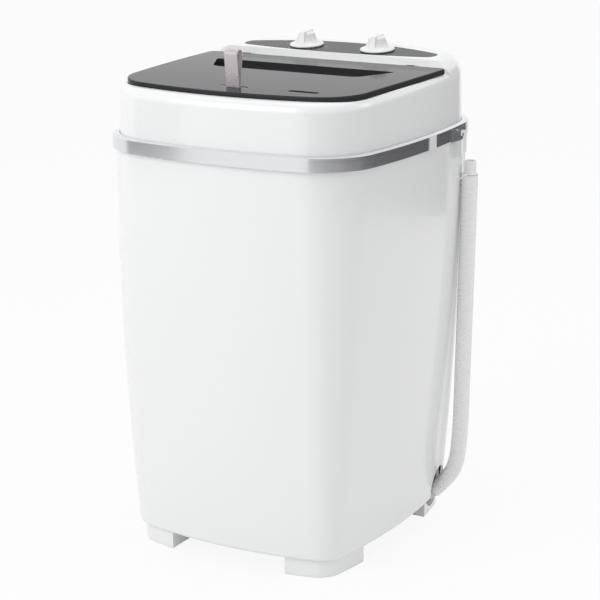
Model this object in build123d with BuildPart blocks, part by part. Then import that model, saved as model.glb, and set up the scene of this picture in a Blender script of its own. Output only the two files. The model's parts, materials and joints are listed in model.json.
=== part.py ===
from build123d import *
import math
import os

# Portable top load washing machine, millimetres. The origin is on the floor under the middle of
# the casing, +X to the machine's right hand side as it is faced, +Z up, front towards -Y.
os.makedirs("parts", exist_ok=True)

# Casing: a tapered box with four bowed faces.
casing_bottom = 26.0
casing_top = 537.0
shoulder_height = 531.7
taper_height = 506.0
top_half_width = 188.0
top_half_depth = 206.0
side_bow = 17.5
front_bow = 21.0
casing_corner = 78.0
wall = 3.0

# Trim band round the joint of casing and cover.
band_bottom = 532.0
band_top = 548.5
band_stand_out = 5.0
band_gap = 0.3

# Top cover and console.
cover_bottom = 540.0
cover_half_width = 186.3
cover_half_depth = 203.5
cover_corner = 82.0
deck_skin = 3.0
seat_depth = 2.0
deck_profile = ((-215.0, 611.0), (-60.0, 616.3), (90.0, 619.2))
console_front = 92.6
console_front_top = 95.0
console_slope = 5.0
console_pivot = (122.0, 634.5)
panel_thickness = 2.0

# Lid.
lid_rise = 5.4
lid_gap = 1.0
lid_skin = 3.0
lid_rear = 84.5
lid_front = 185.0
hinge_y = 88.0
hinge_z = 621.5
hinge_radius = 3.1
hinge_pin_radius = 1.5
hinge_x = 124.0

# Pull tab in the lid.
tab_y = -150.0
tab_pivot_z = 617.6
tab_width = 19.0
tab_top = 665.0
tab_loop_radius = 7.0
tab_pin_radius = 1.0

# Wash tub and drive, on one vertical axis.
tub_y = -44.0
tub_floor = 192.0
tub_wall = 3.0
tub_bottom_radius = 140.0
tub_top_radius = 146.6
mouth_y = -46.0
mouth_half_width = 143.0
mouth_half_depth = 110.0
mouth_corner = 60.0
mouth_collar_bottom = 541.5
shaft_radius = 8.0
pulley_middle = 97.0
pulley_width = 18.0
big_pitch_radius = 76.0
small_pitch_radius = 19.0
motor_x = 25.0
motor_y = 118.0
motor_radius = 52.0
motor_bottom = 112.0
motor_top = 186.0

# Knobs on the sloping console.
knob_spacing = 108.0
knob_y = 129.0
knob_radius = 23.5
knob_height = 20.0

# Drain hose at the right rear corner.
hose_bearing = 30.0
hose_offset = 27.0
hose_radius = 11.0
spigot_radius = 9.0
cuff_radius = 8.0

# Feet.
foot_bottom = 0.8
foot_inset = 6.0
foot_inner_x = 85.0
foot_inner_y = 90.0


def casing_sizes(height):
    """Half width, half depth and corner radius of the casing at a height."""
    drop = (shoulder_height - height) / taper_height
    half_width = top_half_width - 6.5 * drop - 15.6 * drop**2
    half_depth = top_half_depth + 4.0 * drop - 22.0 * drop**2
    return half_width, half_depth, casing_corner - 46.0 * drop + 8.0 * drop**2


def bowed_section(height, half_width, half_depth, corner):
    """A rectangle with bowed sides and rounded corners, flat at a height."""
    x = half_width - side_bow
    y = half_depth - front_bow
    with BuildSketch(Plane.XY.offset(height)) as section:
        with BuildLine():
            ThreePointArc((-x, -y), (0, -half_depth), (x, -y))
            ThreePointArc((x, -y), (half_width, 0), (x, y))
            ThreePointArc((x, y), (0, half_depth), (-x, y))
            ThreePointArc((-x, y), (-half_width, 0), (-x, -y))
        make_face()
        fillet(section.vertices(), corner)
    return section.sketch


def casing_section(height, grow=0.0):
    half_width, half_depth, corner = casing_sizes(height)
    return bowed_section(height, half_width + grow, half_depth + grow, corner + grow)


def casing_block(bottom, top, grow=0.0):
    """The casing's outer form between two heights, grown or shrunk by an amount."""
    steps = max(2, round((top - bottom) / 100.0))
    heights = [bottom + (top - bottom) * step / steps for step in range(steps + 1)]
    with BuildPart() as block:
        loft(sections=[casing_section(height, grow) for height in heights])
    return block.part


def deck_arc(rise):
    """The cover's deck line, seen from the side, lifted by an amount."""
    points = [(y, z + rise) for y, z in deck_profile]
    return ThreePointArc(*points)


def console_height(y):
    return console_pivot[1] + (y - console_pivot[0]) * math.tan(math.radians(console_slope))


def corner_point(out, along, height):
    """A point by its distance out towards the right rear corner and its offset across that way."""
    bearing = math.radians(hose_bearing)
    x = out * math.cos(bearing) - along * math.sin(bearing)
    y = out * math.sin(bearing) + along * math.cos(bearing)
    return (x, y, height)


def corner_plane(out, along, height):
    """A plane that faces out towards the right rear corner."""
    bearing = math.radians(hose_bearing)
    return Plane(
        origin=corner_point(out, along, height),
        x_dir=(-math.sin(bearing), math.cos(bearing), 0),
        z_dir=(math.cos(bearing), math.sin(bearing), 0),
    )


def console_plane(x, y, lift=0.0):
    """A plane on the console's slope, lifted along its normal."""
    slope = math.radians(console_slope)
    flat = Plane(
        origin=(x, y, console_height(y)),
        x_dir=(1, 0, 0),
        z_dir=(0, -math.sin(slope), math.cos(slope)),
    )
    return flat.offset(lift)


def side_plane(y):
    """An upright plane across the machine at y, seen from the front."""
    return Plane(origin=(0, y, 0), x_dir=(1, 0, 0), z_dir=(0, -1, 0))


def rear_plane(x, y, z):
    """An upright plane at a point, seen from the back."""
    return Plane(origin=(x, y, z), x_dir=(-1, 0, 0), z_dir=(0, 1, 0))


def rear_face(x, height):
    """How far back the casing's rear face stands at x and a height."""
    half_width, half_depth, _ = casing_sizes(height)
    return half_depth - front_bow * (x / (half_width - side_bow)) ** 2


tub_axis = Axis((0, tub_y, 0), (0, 0, 1))
nodes = []


def finish_node(part, name):
    """Labels a finished sub-part and writes it."""
    part.label = name
    export_step(part, f"parts/{name}.step")
    nodes.append(name)


# ---------------------------------------------------------------- casing
opening_out = 155.0
opening_along = 30.0
opening_height = 38.0
opening_radius = 28.0
flange_width = 14.0
flange_top = casing_bottom + wall
rear_screws = [(x, z) for x in (-95.0, 95.0) for z in (75.0, 145.0, 215.0)]
screw_hole = 2.2
vent_middle = 150.0
vent_rows = 5
vent_length = 46.0
vent_height = 5.0
rear_cut = -150.0
rear_cut_depth = -70.0
gland_x = -128.0
gland_z = 70.0
gland_radius = 6.8

casing_outside = casing_block(casing_bottom, casing_top)
casing_inside = casing_block(flange_top, casing_top + 1.0, -wall)

with BuildPart() as outer_casing:
    add(casing_outside)
    bottom_edges = outer_casing.faces().sort_by(Axis.Z)[0].edges()
    fillet(bottom_edges, 5.0)
    add(casing_inside, mode=Mode.SUBTRACT)
    half_width, half_depth, corner = casing_sizes(casing_bottom)
    flange_hole = bowed_section(
        casing_bottom - 1.0,
        half_width - flange_width,
        half_depth - flange_width,
        corner - flange_width,
    )
    extrude(flange_hole, amount=wall + 2.0, mode=Mode.SUBTRACT)
    with BuildSketch(corner_plane(opening_out, opening_along, opening_height)):
        Circle(opening_radius)
    extrude(amount=70.0, mode=Mode.SUBTRACT)
    with BuildSketch(Plane.XZ.offset(rear_cut)):
        with Locations(*rear_screws):
            Circle(screw_hole)
        with Locations((gland_x, gland_z)):
            Circle(gland_radius + 0.1)
        with Locations((0, vent_middle)):
            with GridLocations(60.0, 14.0, 3, vent_rows):
                SlotOverall(vent_length, vent_height)
    extrude(amount=rear_cut_depth, mode=Mode.SUBTRACT)
finish_node(outer_casing.part, "outer_casing")

# ---------------------------------------------------------------- rear access cover
plate_width = 212.0
plate_height = 164.0
plate_middle = 145.0
plate_corner = 12.0
plate_margin = 5.0
plate_gap = 0.15
plate_thickness = 1.8
plate_bottom = plate_middle - plate_height / 2 - plate_margin
plate_top = plate_middle + plate_height / 2 + plate_margin

plate_outside = casing_block(plate_bottom, plate_top, plate_gap + plate_thickness)
plate_inside = casing_block(plate_bottom - 1.0, plate_top + 1.0, plate_gap)

with BuildPart() as rear_access_cover:
    add(plate_outside)
    add(plate_inside, mode=Mode.SUBTRACT)
    with BuildSketch(Plane.XZ.offset(rear_cut)):
        with Locations((0, plate_middle)):
            RectangleRounded(plate_width, plate_height, plate_corner)
    extrude(amount=rear_cut_depth, mode=Mode.INTERSECT)
    with BuildSketch(Plane.XZ.offset(rear_cut)):
        with Locations(*rear_screws):
            Circle(screw_hole)
        with Locations((0, vent_middle)):
            with GridLocations(60.0, 14.0, 3, vent_rows):
                SlotOverall(vent_length, vent_height)
    extrude(amount=rear_cut_depth, mode=Mode.SUBTRACT)
finish_node(rear_access_cover.part, "rear_access_cover")

screw_head = 1.8
cross_length = 4.6
cross_width = 0.9

with BuildPart() as rear_cover_screws:
    for x, z in rear_screws:
        seat = rear_face(x, z) + plate_gap + plate_thickness + 1.4
        with BuildSketch(rear_plane(x, seat, z)):
            Circle(4.2)
        extrude(amount=screw_head)
        with BuildSketch(rear_plane(x, seat, z)):
            Circle(screw_hole - 0.3)
        extrude(amount=-11.0)
        with BuildSketch(rear_plane(x, seat + screw_head, z)):
            Rectangle(cross_length, cross_width)
            Rectangle(cross_width, cross_length)
        extrude(amount=-1.0, mode=Mode.SUBTRACT)
finish_node(rear_cover_screws.part, "rear_cover_screws")

# ---------------------------------------------------------------- cord gland
gland_face = rear_face(gland_x, gland_z)

with BuildPart() as cord_gland:
    with BuildSketch(rear_plane(gland_x, gland_face - 16.0, gland_z)):
        Circle(gland_radius)
    extrude(amount=22.0)
    with BuildSketch(rear_plane(gland_x, gland_face + 3.0, gland_z)):
        Circle(gland_radius + 3.7)
    extrude(amount=3.8)
    with BuildSketch(rear_plane(gland_x, gland_face - 20.0, gland_z)):
        Circle(3.6)
    extrude(amount=40.0, mode=Mode.SUBTRACT)
finish_node(cord_gland.part, "cord_gland")

# ---------------------------------------------------------------- base
base_top = 33.0
base_rim_top = 62.0
base_width, base_depth, base_corner = casing_sizes(flange_top)
base_inset = wall + 0.5

with BuildPart() as base_frame:
    tray = bowed_section(
        flange_top, base_width - base_inset, base_depth - base_inset, base_corner - base_inset
    )
    extrude(tray, amount=base_rim_top - flange_top)
    tray_inside = bowed_section(
        base_top,
        base_width - base_inset - wall,
        base_depth - base_inset - wall,
        base_corner - base_inset - wall,
    )
    extrude(tray_inside, amount=base_rim_top, mode=Mode.SUBTRACT)
    with BuildSketch(Plane.XY.offset(base_top)):
        with Locations((-125.0, 0), (-62.0, 0)):
            Rectangle(4.0, 300.0)
        with Locations((0, -110.0), (0, 0)):
            Rectangle(290.0, 4.0)
    extrude(amount=12.0)
    with BuildSketch(Plane.XY.offset(base_top)):
        with Locations((0, tub_y)):
            Circle(96.0)
    extrude(amount=20.0, mode=Mode.SUBTRACT)
    with BuildSketch(corner_plane(opening_out, opening_along, opening_height)):
        Circle(opening_radius + 1.0)
    extrude(amount=70.0, mode=Mode.SUBTRACT)
finish_node(base_frame.part, "base_frame")

# ---------------------------------------------------------------- feet
foot_size = 120.0
pad_x = 122.0
pad_y = 138.0
pad_radius = 13.0
pad_height = 2.0

foot_corners = {
    "foot_front_left": (-1, -1),
    "foot_front_right": (1, -1),
    "foot_rear_left": (-1, 1),
    "foot_rear_right": (1, 1),
}
foot_width, foot_depth, foot_corner = casing_sizes(casing_bottom)
boss_inset = flange_width + 0.5

for foot_name, (side, end) in foot_corners.items():
    with BuildPart() as foot:
        block = bowed_section(
            foot_bottom, foot_width - foot_inset, foot_depth - foot_inset, foot_corner - foot_inset
        )
        extrude(block, amount=casing_bottom - foot_bottom)
        boss = bowed_section(
            casing_bottom, foot_width - boss_inset, foot_depth - boss_inset, foot_corner - boss_inset
        )
        extrude(boss, amount=flange_top - casing_bottom)
        with BuildSketch(Plane.XY):
            with Locations((side * (foot_inner_x + foot_size / 2), end * (foot_inner_y + foot_size / 2))):
                Rectangle(foot_size, foot_size)
        extrude(amount=50.0, mode=Mode.INTERSECT)
        fillet(foot.faces().sort_by(Axis.Z)[0].edges(), 3.0)
        with BuildSketch(Plane.XY):
            with Locations((side * pad_x, end * pad_y)):
                Circle(pad_radius + 0.1)
        extrude(amount=pad_height, mode=Mode.SUBTRACT)
        if foot_name == "foot_rear_right":
            with BuildSketch(corner_plane(opening_out, opening_along, opening_height)):
                Circle(opening_radius + 1.0)
            extrude(amount=70.0, mode=Mode.SUBTRACT)
    finish_node(foot.part, foot_name)

with BuildPart() as foot_pads:
    with BuildSketch(Plane.XY):
        with GridLocations(2 * pad_x, 2 * pad_y, 2, 2):
            Circle(pad_radius)
    extrude(amount=pad_height)
finish_node(foot_pads.part, "foot_pads")

# ---------------------------------------------------------------- trim band
band_lip_bottom = 545.0
band_slope = 2.0
band_seam_y = 71.5
band_seam_width = 0.9
clip_y = 14.5
clip_width = 20.0


def band_ring(bottom, height, outer, inner):
    """A ring round the casing, from one stand-out of the casing's top to another."""
    outside = bowed_section(
        bottom, top_half_width + outer, top_half_depth + outer, casing_corner + outer
    )
    inside = bowed_section(
        bottom, top_half_width + inner, top_half_depth + inner, casing_corner + inner
    )
    with BuildPart() as ring:
        extrude(outside, amount=height)
        extrude(inside, amount=height, mode=Mode.SUBTRACT)
    return ring.part


with BuildPart() as trim_band:
    add(band_ring(band_bottom, band_top - band_bottom, band_stand_out, band_gap))
    lip_outside = bowed_section(
        band_lip_bottom,
        top_half_width + band_stand_out,
        top_half_depth + band_stand_out,
        casing_corner + band_stand_out,
    )
    extrude(lip_outside, amount=band_top + band_slope - band_lip_bottom)
    lip_inside = bowed_section(
        band_lip_bottom,
        cover_half_width + band_gap,
        cover_half_depth + band_gap,
        cover_corner + band_gap,
    )
    extrude(lip_inside, amount=band_top, mode=Mode.SUBTRACT)
    chamfer(trim_band.faces().sort_by(Axis.Z)[-1].outer_wire().edges(), band_slope, 4.0)
    with BuildSketch(Plane.YZ.offset(top_half_width + band_stand_out - 3.0)):
        with Locations((band_seam_y, (band_bottom + band_top) / 2)):
            Rectangle(band_seam_width, 30.0)
    extrude(amount=20.0, mode=Mode.SUBTRACT)
finish_node(trim_band.part, "trim_band")

with BuildPart() as band_clip:
    add(band_ring(band_bottom - 0.6, 17.6, band_stand_out + 0.9, band_stand_out + 0.1))
    with BuildSketch(Plane.XY.offset(band_bottom - 1.0)):
        with Locations((200.0, clip_y)):
            Rectangle(80.0, clip_width)
    extrude(amount=20.0, mode=Mode.INTERSECT)
finish_node(band_clip.part, "band_clip")

# ---------------------------------------------------------------- top cover
cover_top_height = 660.0
cover_draft = 3.0
deck_round = 14.0
console_round = 27.0
side_reach = 400.0
console_tuck = 0.05
console_floor = 596.0
deck_reach = 215.0
hinge_pocket_length = 34.0
hinge_pocket_floor = 613.0
panel_half_length = 145.0
inlet_x = 112.0
inlet_z = 588.0
inlet_flange_y = 196.0


def cover_block(inset):
    """The cover's outer walls, drawn in by an amount, rising past the console."""
    foot_section = bowed_section(
        cover_bottom, cover_half_width - inset, cover_half_depth - inset, cover_corner - inset
    )
    head_section = bowed_section(
        cover_top_height,
        cover_half_width - cover_draft - inset,
        cover_half_depth - cover_draft - inset,
        cover_corner - inset,
    )
    with BuildPart() as block:
        loft(sections=[foot_section, head_section])
    return block.part


def deck_block(inset, rise, rounding):
    """The walls up to the deck line, with the rim rounded over."""
    with BuildPart() as block:
        add(cover_block(inset))
        with BuildSketch(Plane.YZ):
            with BuildLine():
                arc = deck_arc(rise)
                Polyline(
                    arc @ 1,
                    (deck_reach, (arc @ 1).Y),
                    (deck_reach, cover_bottom),
                    (-deck_reach, cover_bottom),
                    arc @ 0,
                )
            make_face()
        extrude(amount=side_reach, both=True, mode=Mode.INTERSECT)
        fillet(block.faces().sort_by(Axis.Z)[-1].edges(), rounding)
    return block.part


def console_block(inset, front, front_top, drop, rounding, lip_radius=0.0):
    """The console's block behind the lid, its outer edge rounded well over."""
    with BuildPart() as block:
        add(cover_block(inset + console_tuck))
        with BuildSketch(Plane.YZ) as side:
            Polygon(
                (front, console_floor),
                (deck_reach, console_floor),
                (deck_reach, console_height(deck_reach) - drop),
                (front_top, console_height(front_top) - drop),
                (front, deck_profile[2][1]),
                align=None,
            )
            if lip_radius:
                lip = side.vertices().sort_by_distance((0, front_top, console_height(front_top)))[0]
                fillet(lip, lip_radius)
        extrude(amount=side_reach, both=True, mode=Mode.INTERSECT)
        top_edges = block.faces().sort_by(Axis.Z)[-1].edges()
        fillet(top_edges.filter_by(Axis.X, reverse=True), rounding)
    return block.part


def lid_outline(height, grow=0.0):
    """The lid's plan: bowed front and sides, a straight rear edge and two large front corners."""
    rear_x = 178.0
    side_x = 174.4
    front_x = 166.0
    front_corner_y = -162.0
    with BuildSketch(Plane.XY.offset(height)) as outline:
        with BuildLine():
            ThreePointArc((-front_x, front_corner_y), (0, -lid_front), (front_x, front_corner_y))
            ThreePointArc((front_x, front_corner_y), (side_x, -39.0), (rear_x, lid_rear))
            Line((rear_x, lid_rear), (-rear_x, lid_rear))
            ThreePointArc((-rear_x, lid_rear), (-side_x, -39.0), (-front_x, front_corner_y))
        make_face()
        fillet(outline.vertices().group_by(Axis.Y)[0], 60.0)
        fillet(outline.vertices().group_by(Axis.Y)[-1], 9.0)
        if grow:
            offset(amount=grow, kind=Kind.INTERSECTION)
    return outline.sketch


def under_arc(rise, floor=560.0):
    """A slab as wide as the machine from a floor up to the lifted deck line."""
    with BuildPart() as slab:
        with BuildSketch(Plane.YZ):
            with BuildLine():
                arc = deck_arc(rise)
                Polyline(arc @ 1, ((arc @ 1).X, floor), ((arc @ 0).X, floor), arc @ 0)
            make_face()
        extrude(amount=side_reach, both=True)
    return slab.part


def mouth_outline(height, grow=0.0):
    """The loading opening's plan."""
    with BuildSketch(Plane.XY.offset(height)) as outline:
        with Locations((0, mouth_y)):
            RectangleRounded(
                2 * (mouth_half_width + grow), 2 * (mouth_half_depth + grow), mouth_corner + grow
            )
    return outline.sketch


def panel_outline(plane, grow=0.0):
    """The console panel's plan: a long lens with small rounded ends."""
    end_x = 136.0
    with BuildSketch(plane) as outline:
        with BuildLine():
            ThreePointArc((-end_x, -14.0), (0, -25.0), (end_x, -14.0))
            ThreePointArc((end_x, -14.0), (panel_half_length, -1.0), (end_x, 12.0))
            ThreePointArc((end_x, 12.0), (0, 39.0), (-end_x, 12.0))
            ThreePointArc((-end_x, 12.0), (-panel_half_length, -1.0), (-end_x, -14.0))
        make_face()
        if grow:
            offset(amount=grow)
    return outline.sketch


knob_places = {"timer": -knob_spacing / 2, "selector": knob_spacing / 2}
hinge_sides = (-hinge_x, hinge_x)

with BuildPart() as cover_hollow:
    add(deck_block(wall, -seat_depth - deck_skin, deck_round - wall))
    with Locations(*[(x, 86.0, 630.0) for x in hinge_sides]):
        Box(hinge_pocket_length + 6.0, 18.0, 40.0, mode=Mode.SUBTRACT)
    add(console_block(wall, console_front + 2.5, console_front_top + 2.5, 4.0, console_round - wall))

with BuildPart() as lid_seat:
    extrude(lid_outline(590.0, 1.5), amount=60.0)
    add(under_arc(-seat_depth), mode=Mode.SUBTRACT)

with BuildPart() as top_cover:
    add(deck_block(0, 0, deck_round))
    add(console_block(0, console_front, console_front_top, 0, console_round, 4.0))
    add(cover_hollow.part, mode=Mode.SUBTRACT)
    extrude(mouth_outline(mouth_collar_bottom), amount=120.0, mode=Mode.SUBTRACT)
    add(lid_seat.part, mode=Mode.SUBTRACT)
    with Locations(*[(x, 86.2, hinge_pocket_floor + 10.0) for x in hinge_sides]):
        Box(hinge_pocket_length, 12.4, 20.0, mode=Mode.SUBTRACT)
    pocket_plane = console_plane(0, 122.0, -panel_thickness)
    extrude(panel_outline(pocket_plane, 0.3), amount=10.0, mode=Mode.SUBTRACT)
    for x in knob_places.values():
        with BuildSketch(console_plane(x, knob_y, -8.0)):
            Circle(5.0)
        extrude(amount=12.0, mode=Mode.SUBTRACT)
    with BuildSketch(side_plane(160.0)):
        with Locations((inlet_x, inlet_z)):
            Circle(9.1)
    extrude(amount=-60.0, mode=Mode.SUBTRACT)
finish_node(top_cover.part, "top_cover")

with BuildPart() as mouth_collar:
    extrude(mouth_outline(mouth_collar_bottom, wall), amount=120.0)
    add(under_arc(-seat_depth - deck_skin, 500.0), mode=Mode.INTERSECT)
    extrude(mouth_outline(mouth_collar_bottom), amount=120.0, mode=Mode.SUBTRACT)
finish_node(mouth_collar.part, "mouth_collar")

with BuildPart() as console_panel:
    extrude(panel_outline(console_plane(0, 122.0, -panel_thickness)), amount=panel_thickness - 0.4)
    for x in knob_places.values():
        with BuildSketch(console_plane(x, knob_y, -5.0)):
            Circle(4.5)
        extrude(amount=10.0, mode=Mode.SUBTRACT)
finish_node(console_panel.part, "console_panel")

# ---------------------------------------------------------------- water inlet
inlet_radius = 8.0
inlet_length = 11.0


inlet_flange = 2.4
inlet_root_y = 178.0

with BuildPart() as water_inlet:
    with BuildSketch(rear_plane(inlet_x, inlet_root_y, inlet_z)):
        Circle(inlet_radius + 1.0)
    extrude(amount=inlet_flange_y - inlet_root_y)
    with BuildSketch(rear_plane(inlet_x, inlet_flange_y, inlet_z)):
        Circle(inlet_radius + 6.0)
    extrude(amount=inlet_flange)
    with BuildSketch(rear_plane(inlet_x, inlet_flange_y + inlet_flange, inlet_z)):
        Circle(inlet_radius)
    extrude(amount=inlet_length)
    with BuildSketch(rear_plane(inlet_x, inlet_root_y - 1.0, inlet_z)):
        Circle(inlet_radius - 2.0)
    extrude(amount=50.0, mode=Mode.SUBTRACT)
finish_node(water_inlet.part, "water_inlet")

# ---------------------------------------------------------------- lid
trough_floor = 615.0
trough_wall = 2.2
trough_front_y = -29.5
trough_rear_y = 27.0
slot_length = 40.0
slot_width = 8.0
dimple_x = 97.0
dimple_y = -147.0
dimple_length = 42.0
knuckle_length = 12.0


def trough_outline(height, grow=0.0):
    """The finger trough's plan: a long tray with slanted ends, across the lid."""
    with BuildSketch(Plane.XY.offset(height)) as outline:
        with BuildLine():
            Polyline(
                (-106.0, trough_front_y),
                (106.0, trough_front_y),
                (134.0, trough_rear_y),
                (-134.0, trough_rear_y),
                close=True,
            )
        make_face()
        fillet(outline.vertices().group_by(Axis.Y)[0], 18.0)
        fillet(outline.vertices().group_by(Axis.Y)[-1], 4.0)
        if grow:
            offset(amount=grow)
    return outline.sketch


with BuildPart() as lid_hollow:
    extrude(lid_outline(590.0, -lid_skin), amount=60.0)
    add(under_arc(lid_rise - lid_skin), mode=Mode.INTERSECT)

with BuildPart() as lid_panel:
    extrude(lid_outline(600.0), amount=60.0)
    add(under_arc(lid_rise), mode=Mode.INTERSECT)
    fillet(lid_panel.faces().sort_by(Axis.Z)[-1].edges(), 1.6)
    add(under_arc(-lid_gap), mode=Mode.SUBTRACT)
    add(lid_hollow.part, mode=Mode.SUBTRACT)
    extrude(trough_outline(trough_floor - trough_wall, trough_wall), amount=8.0)
    extrude(trough_outline(trough_floor), amount=20.0, mode=Mode.SUBTRACT)
    with BuildSketch(Plane.XY.offset(600.0)):
        with Locations((0, tab_y)):
            SlotOverall(slot_length, slot_width)
    extrude(amount=40.0, mode=Mode.SUBTRACT)
    with BuildSketch(Plane.XY.offset(617.8)):
        with Locations((dimple_x, dimple_y)):
            SlotOverall(dimple_length, 9.0)
    extrude(amount=20.0, mode=Mode.SUBTRACT)
    for x in hinge_sides:
        with BuildSketch(Plane.YZ.offset(x)):
            with Locations((hinge_y, hinge_z)):
                Circle(hinge_radius)
            with Locations(((80.0 + hinge_y) / 2, hinge_z - 0.4)):
                Rectangle(hinge_y - 80.0, 4.0)
        extrude(amount=knuckle_length / 2, both=True)
        with BuildSketch(Plane.YZ.offset(x)):
            with Locations((hinge_y, hinge_z)):
                Circle(hinge_pin_radius)
        extrude(amount=knuckle_length, both=True, mode=Mode.SUBTRACT)
    with BuildSketch(Plane.YZ):
        with Locations((tab_y, tab_pivot_z)):
            Circle(tab_pin_radius)
    extrude(amount=slot_length / 2 + 3.0, both=True, mode=Mode.SUBTRACT)
finish_node(lid_panel.part, "lid_panel")

bracket_gap = 0.5
bracket_lug = 4.0
with BuildPart() as lid_hinge_brackets:
    for x in hinge_sides:
        with Locations((x, 87.0, hinge_pocket_floor + 1.0)):
            Box(30.0, 9.0, 2.0)
        for side in (-1, 1):
            lug_start = x + side * (knuckle_length / 2 + bracket_gap)
            with BuildSketch(Plane.YZ.offset(lug_start)):
                with Locations((hinge_y, hinge_z)):
                    Circle(hinge_radius)
                with Locations((hinge_y, (hinge_pocket_floor + 1.0 + hinge_z) / 2)):
                    Rectangle(2 * hinge_radius, hinge_z - hinge_pocket_floor - 1.0)
            extrude(amount=side * bracket_lug)
        with BuildSketch(Plane.YZ.offset(x)):
            with Locations((hinge_y, hinge_z)):
                Circle(hinge_pin_radius + 0.05)
        extrude(amount=20.0, both=True, mode=Mode.SUBTRACT)
finish_node(lid_hinge_brackets.part, "lid_hinge_brackets")

with BuildPart() as lid_hinge_pins:
    for x in hinge_sides:
        with BuildSketch(Plane.YZ.offset(x)):
            with Locations((hinge_y, hinge_z)):
                Circle(hinge_pin_radius)
        extrude(amount=knuckle_length / 2 + bracket_gap + bracket_lug, both=True)
finish_node(lid_hinge_pins.part, "lid_hinge_pins")

# ---------------------------------------------------------------- pull tab
with BuildPart() as pull_tab:
    loop_height = tab_top - tab_loop_radius
    with BuildSketch(Plane.YZ):
        with Locations((tab_y, loop_height)):
            Circle(tab_loop_radius)
        with Locations((tab_y, tab_pivot_z)):
            Circle(1.9)
        make_hull()
    extrude(amount=tab_width / 2, both=True)
    with BuildSketch(Plane.YZ):
        with Locations((tab_y, loop_height)):
            Circle(tab_loop_radius - 1.6)
        with Locations((tab_y, tab_pivot_z + 12.0)):
            Circle(0.6)
        make_hull()
    extrude(amount=tab_width, both=True, mode=Mode.SUBTRACT)
    with BuildSketch(Plane.YZ):
        with Locations((tab_y, tab_pivot_z)):
            Circle(tab_pin_radius + 0.05)
    extrude(amount=tab_width, both=True, mode=Mode.SUBTRACT)
finish_node(pull_tab.part, "pull_tab")

with BuildPart() as tab_pin:
    with BuildSketch(Plane.YZ):
        with Locations((tab_y, tab_pivot_z)):
            Circle(tab_pin_radius)
    extrude(amount=slot_length / 2 + 3.0, both=True)
finish_node(tab_pin.part, "tab_pin")

# ---------------------------------------------------------------- wash tub
hub_radius = 17.0
drain_x = 95.0
drain_y = 20.0
drain_bore = 9.0
rib_count = 8
rim_inset = 0.8

with BuildPart() as wash_tub:
    with BuildSketch(side_plane(tub_y)):
        Polygon(
            (0, tub_floor),
            (tub_bottom_radius + tub_wall, tub_floor),
            (tub_top_radius + tub_wall, cover_bottom),
            (0, cover_bottom),
            align=None,
        )
    revolve(axis=tub_axis)
    rim = bowed_section(
        casing_top, top_half_width - rim_inset, top_half_depth - rim_inset, casing_corner - rim_inset
    )
    extrude(rim, amount=cover_bottom - casing_top)
    with BuildSketch(side_plane(tub_y)):
        Polygon(
            (0, tub_floor + tub_wall),
            (tub_bottom_radius, tub_floor + tub_wall),
            (tub_top_radius, cover_bottom + 1.0),
            (0, cover_bottom + 1.0),
            align=None,
        )
    revolve(axis=tub_axis, mode=Mode.SUBTRACT)
    with BuildSketch(Plane.XY.offset(tub_floor + 1.0)):
        with Locations((0, tub_y)):
            with PolarLocations(tub_bottom_radius + 1.0, rib_count, start_angle=22.5):
                Circle(4.0)
    extrude(amount=250.0)
    with Locations((0, 96.0, 360.0)):
        Box(24.0, 10.0, 70.0)
    with BuildSketch(Plane.XY.offset(tub_floor - 1.0)):
        with Locations((0, tub_y)):
            Circle(hub_radius + 0.1)
        with Locations((drain_x, drain_y)):
            Circle(drain_bore)
    extrude(amount=tub_wall + 2.0, mode=Mode.SUBTRACT)
finish_node(wash_tub.part, "wash_tub")

# ---------------------------------------------------------------- lint filter
filter_y = 85.0
filter_bottom = 300.0
filter_height = 104.0
filter_width = 76.0

with BuildPart() as filter_housing:
    with Locations((0, filter_y, filter_bottom + filter_height / 2)):
        Box(filter_width, 12.0, filter_height)
    with Locations((0, filter_y, filter_bottom + filter_height / 2 + 3.0)):
        Box(filter_width - 6.0, 7.0, filter_height, mode=Mode.SUBTRACT)
    with BuildSketch(side_plane(filter_y + 8.0)):
        with Locations((0, filter_bottom + filter_height / 2)):
            with GridLocations(15.0, 0, 4, 1):
                SlotOverall(filter_height - 24.0, 9.0, rotation=90)
    extrude(amount=16.0, mode=Mode.SUBTRACT)
finish_node(filter_housing.part, "filter_housing")

with BuildPart() as lint_filter:
    frame_gap = 0.6
    with Locations((0, filter_y, filter_bottom + 3.0 + frame_gap + filter_height / 2)):
        Box(filter_width - 6.0 - 2 * frame_gap, 7.0 - 2 * frame_gap, filter_height)
    with BuildSketch(side_plane(filter_y + 8.0)):
        with Locations((0, filter_bottom + filter_height / 2 + 2.0)):
            Rectangle(filter_width - 18.0, filter_height - 18.0)
    extrude(amount=16.0, mode=Mode.SUBTRACT)
    with Locations((0, filter_y, filter_bottom + filter_height + 8.0)):
        Box(30.0, 5.0, 10.0)
finish_node(lint_filter.part, "lint_filter")

with BuildPart() as lint_mesh:
    with Locations((0, filter_y, filter_bottom + filter_height / 2 + 2.0)):
        Box(filter_width - 18.0, 1.2, filter_height - 18.0)
finish_node(lint_mesh.part, "lint_filter_mesh")

# ---------------------------------------------------------------- bearing housing, seal and bearings
bearing_outer = 13.0
running_gap = 0.05


def drive_ring(bottom, top, outer, inner):
    """A plain ring on the tub's axis."""
    with BuildPart() as ring:
        with BuildSketch(Plane.XY.offset(bottom)):
            with Locations((0, tub_y)):
                Circle(outer)
                Circle(inner, mode=Mode.SUBTRACT)
        extrude(amount=top - bottom)
    return ring.part


with BuildPart() as bearing_housing:
    add(drive_ring(116.0, 199.0, hub_radius, bearing_outer))
    add(drive_ring(184.0, tub_floor, 48.0, hub_radius - 1.0))
    with BuildSketch(Plane.XY.offset(150.0)):
        with Locations((0, tub_y)):
            with PolarLocations((hub_radius + 42.0) / 2, 6):
                Rectangle(26.0, 4.0)
    extrude(amount=34.0)
finish_node(bearing_housing.part, "bearing_housing")

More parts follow.
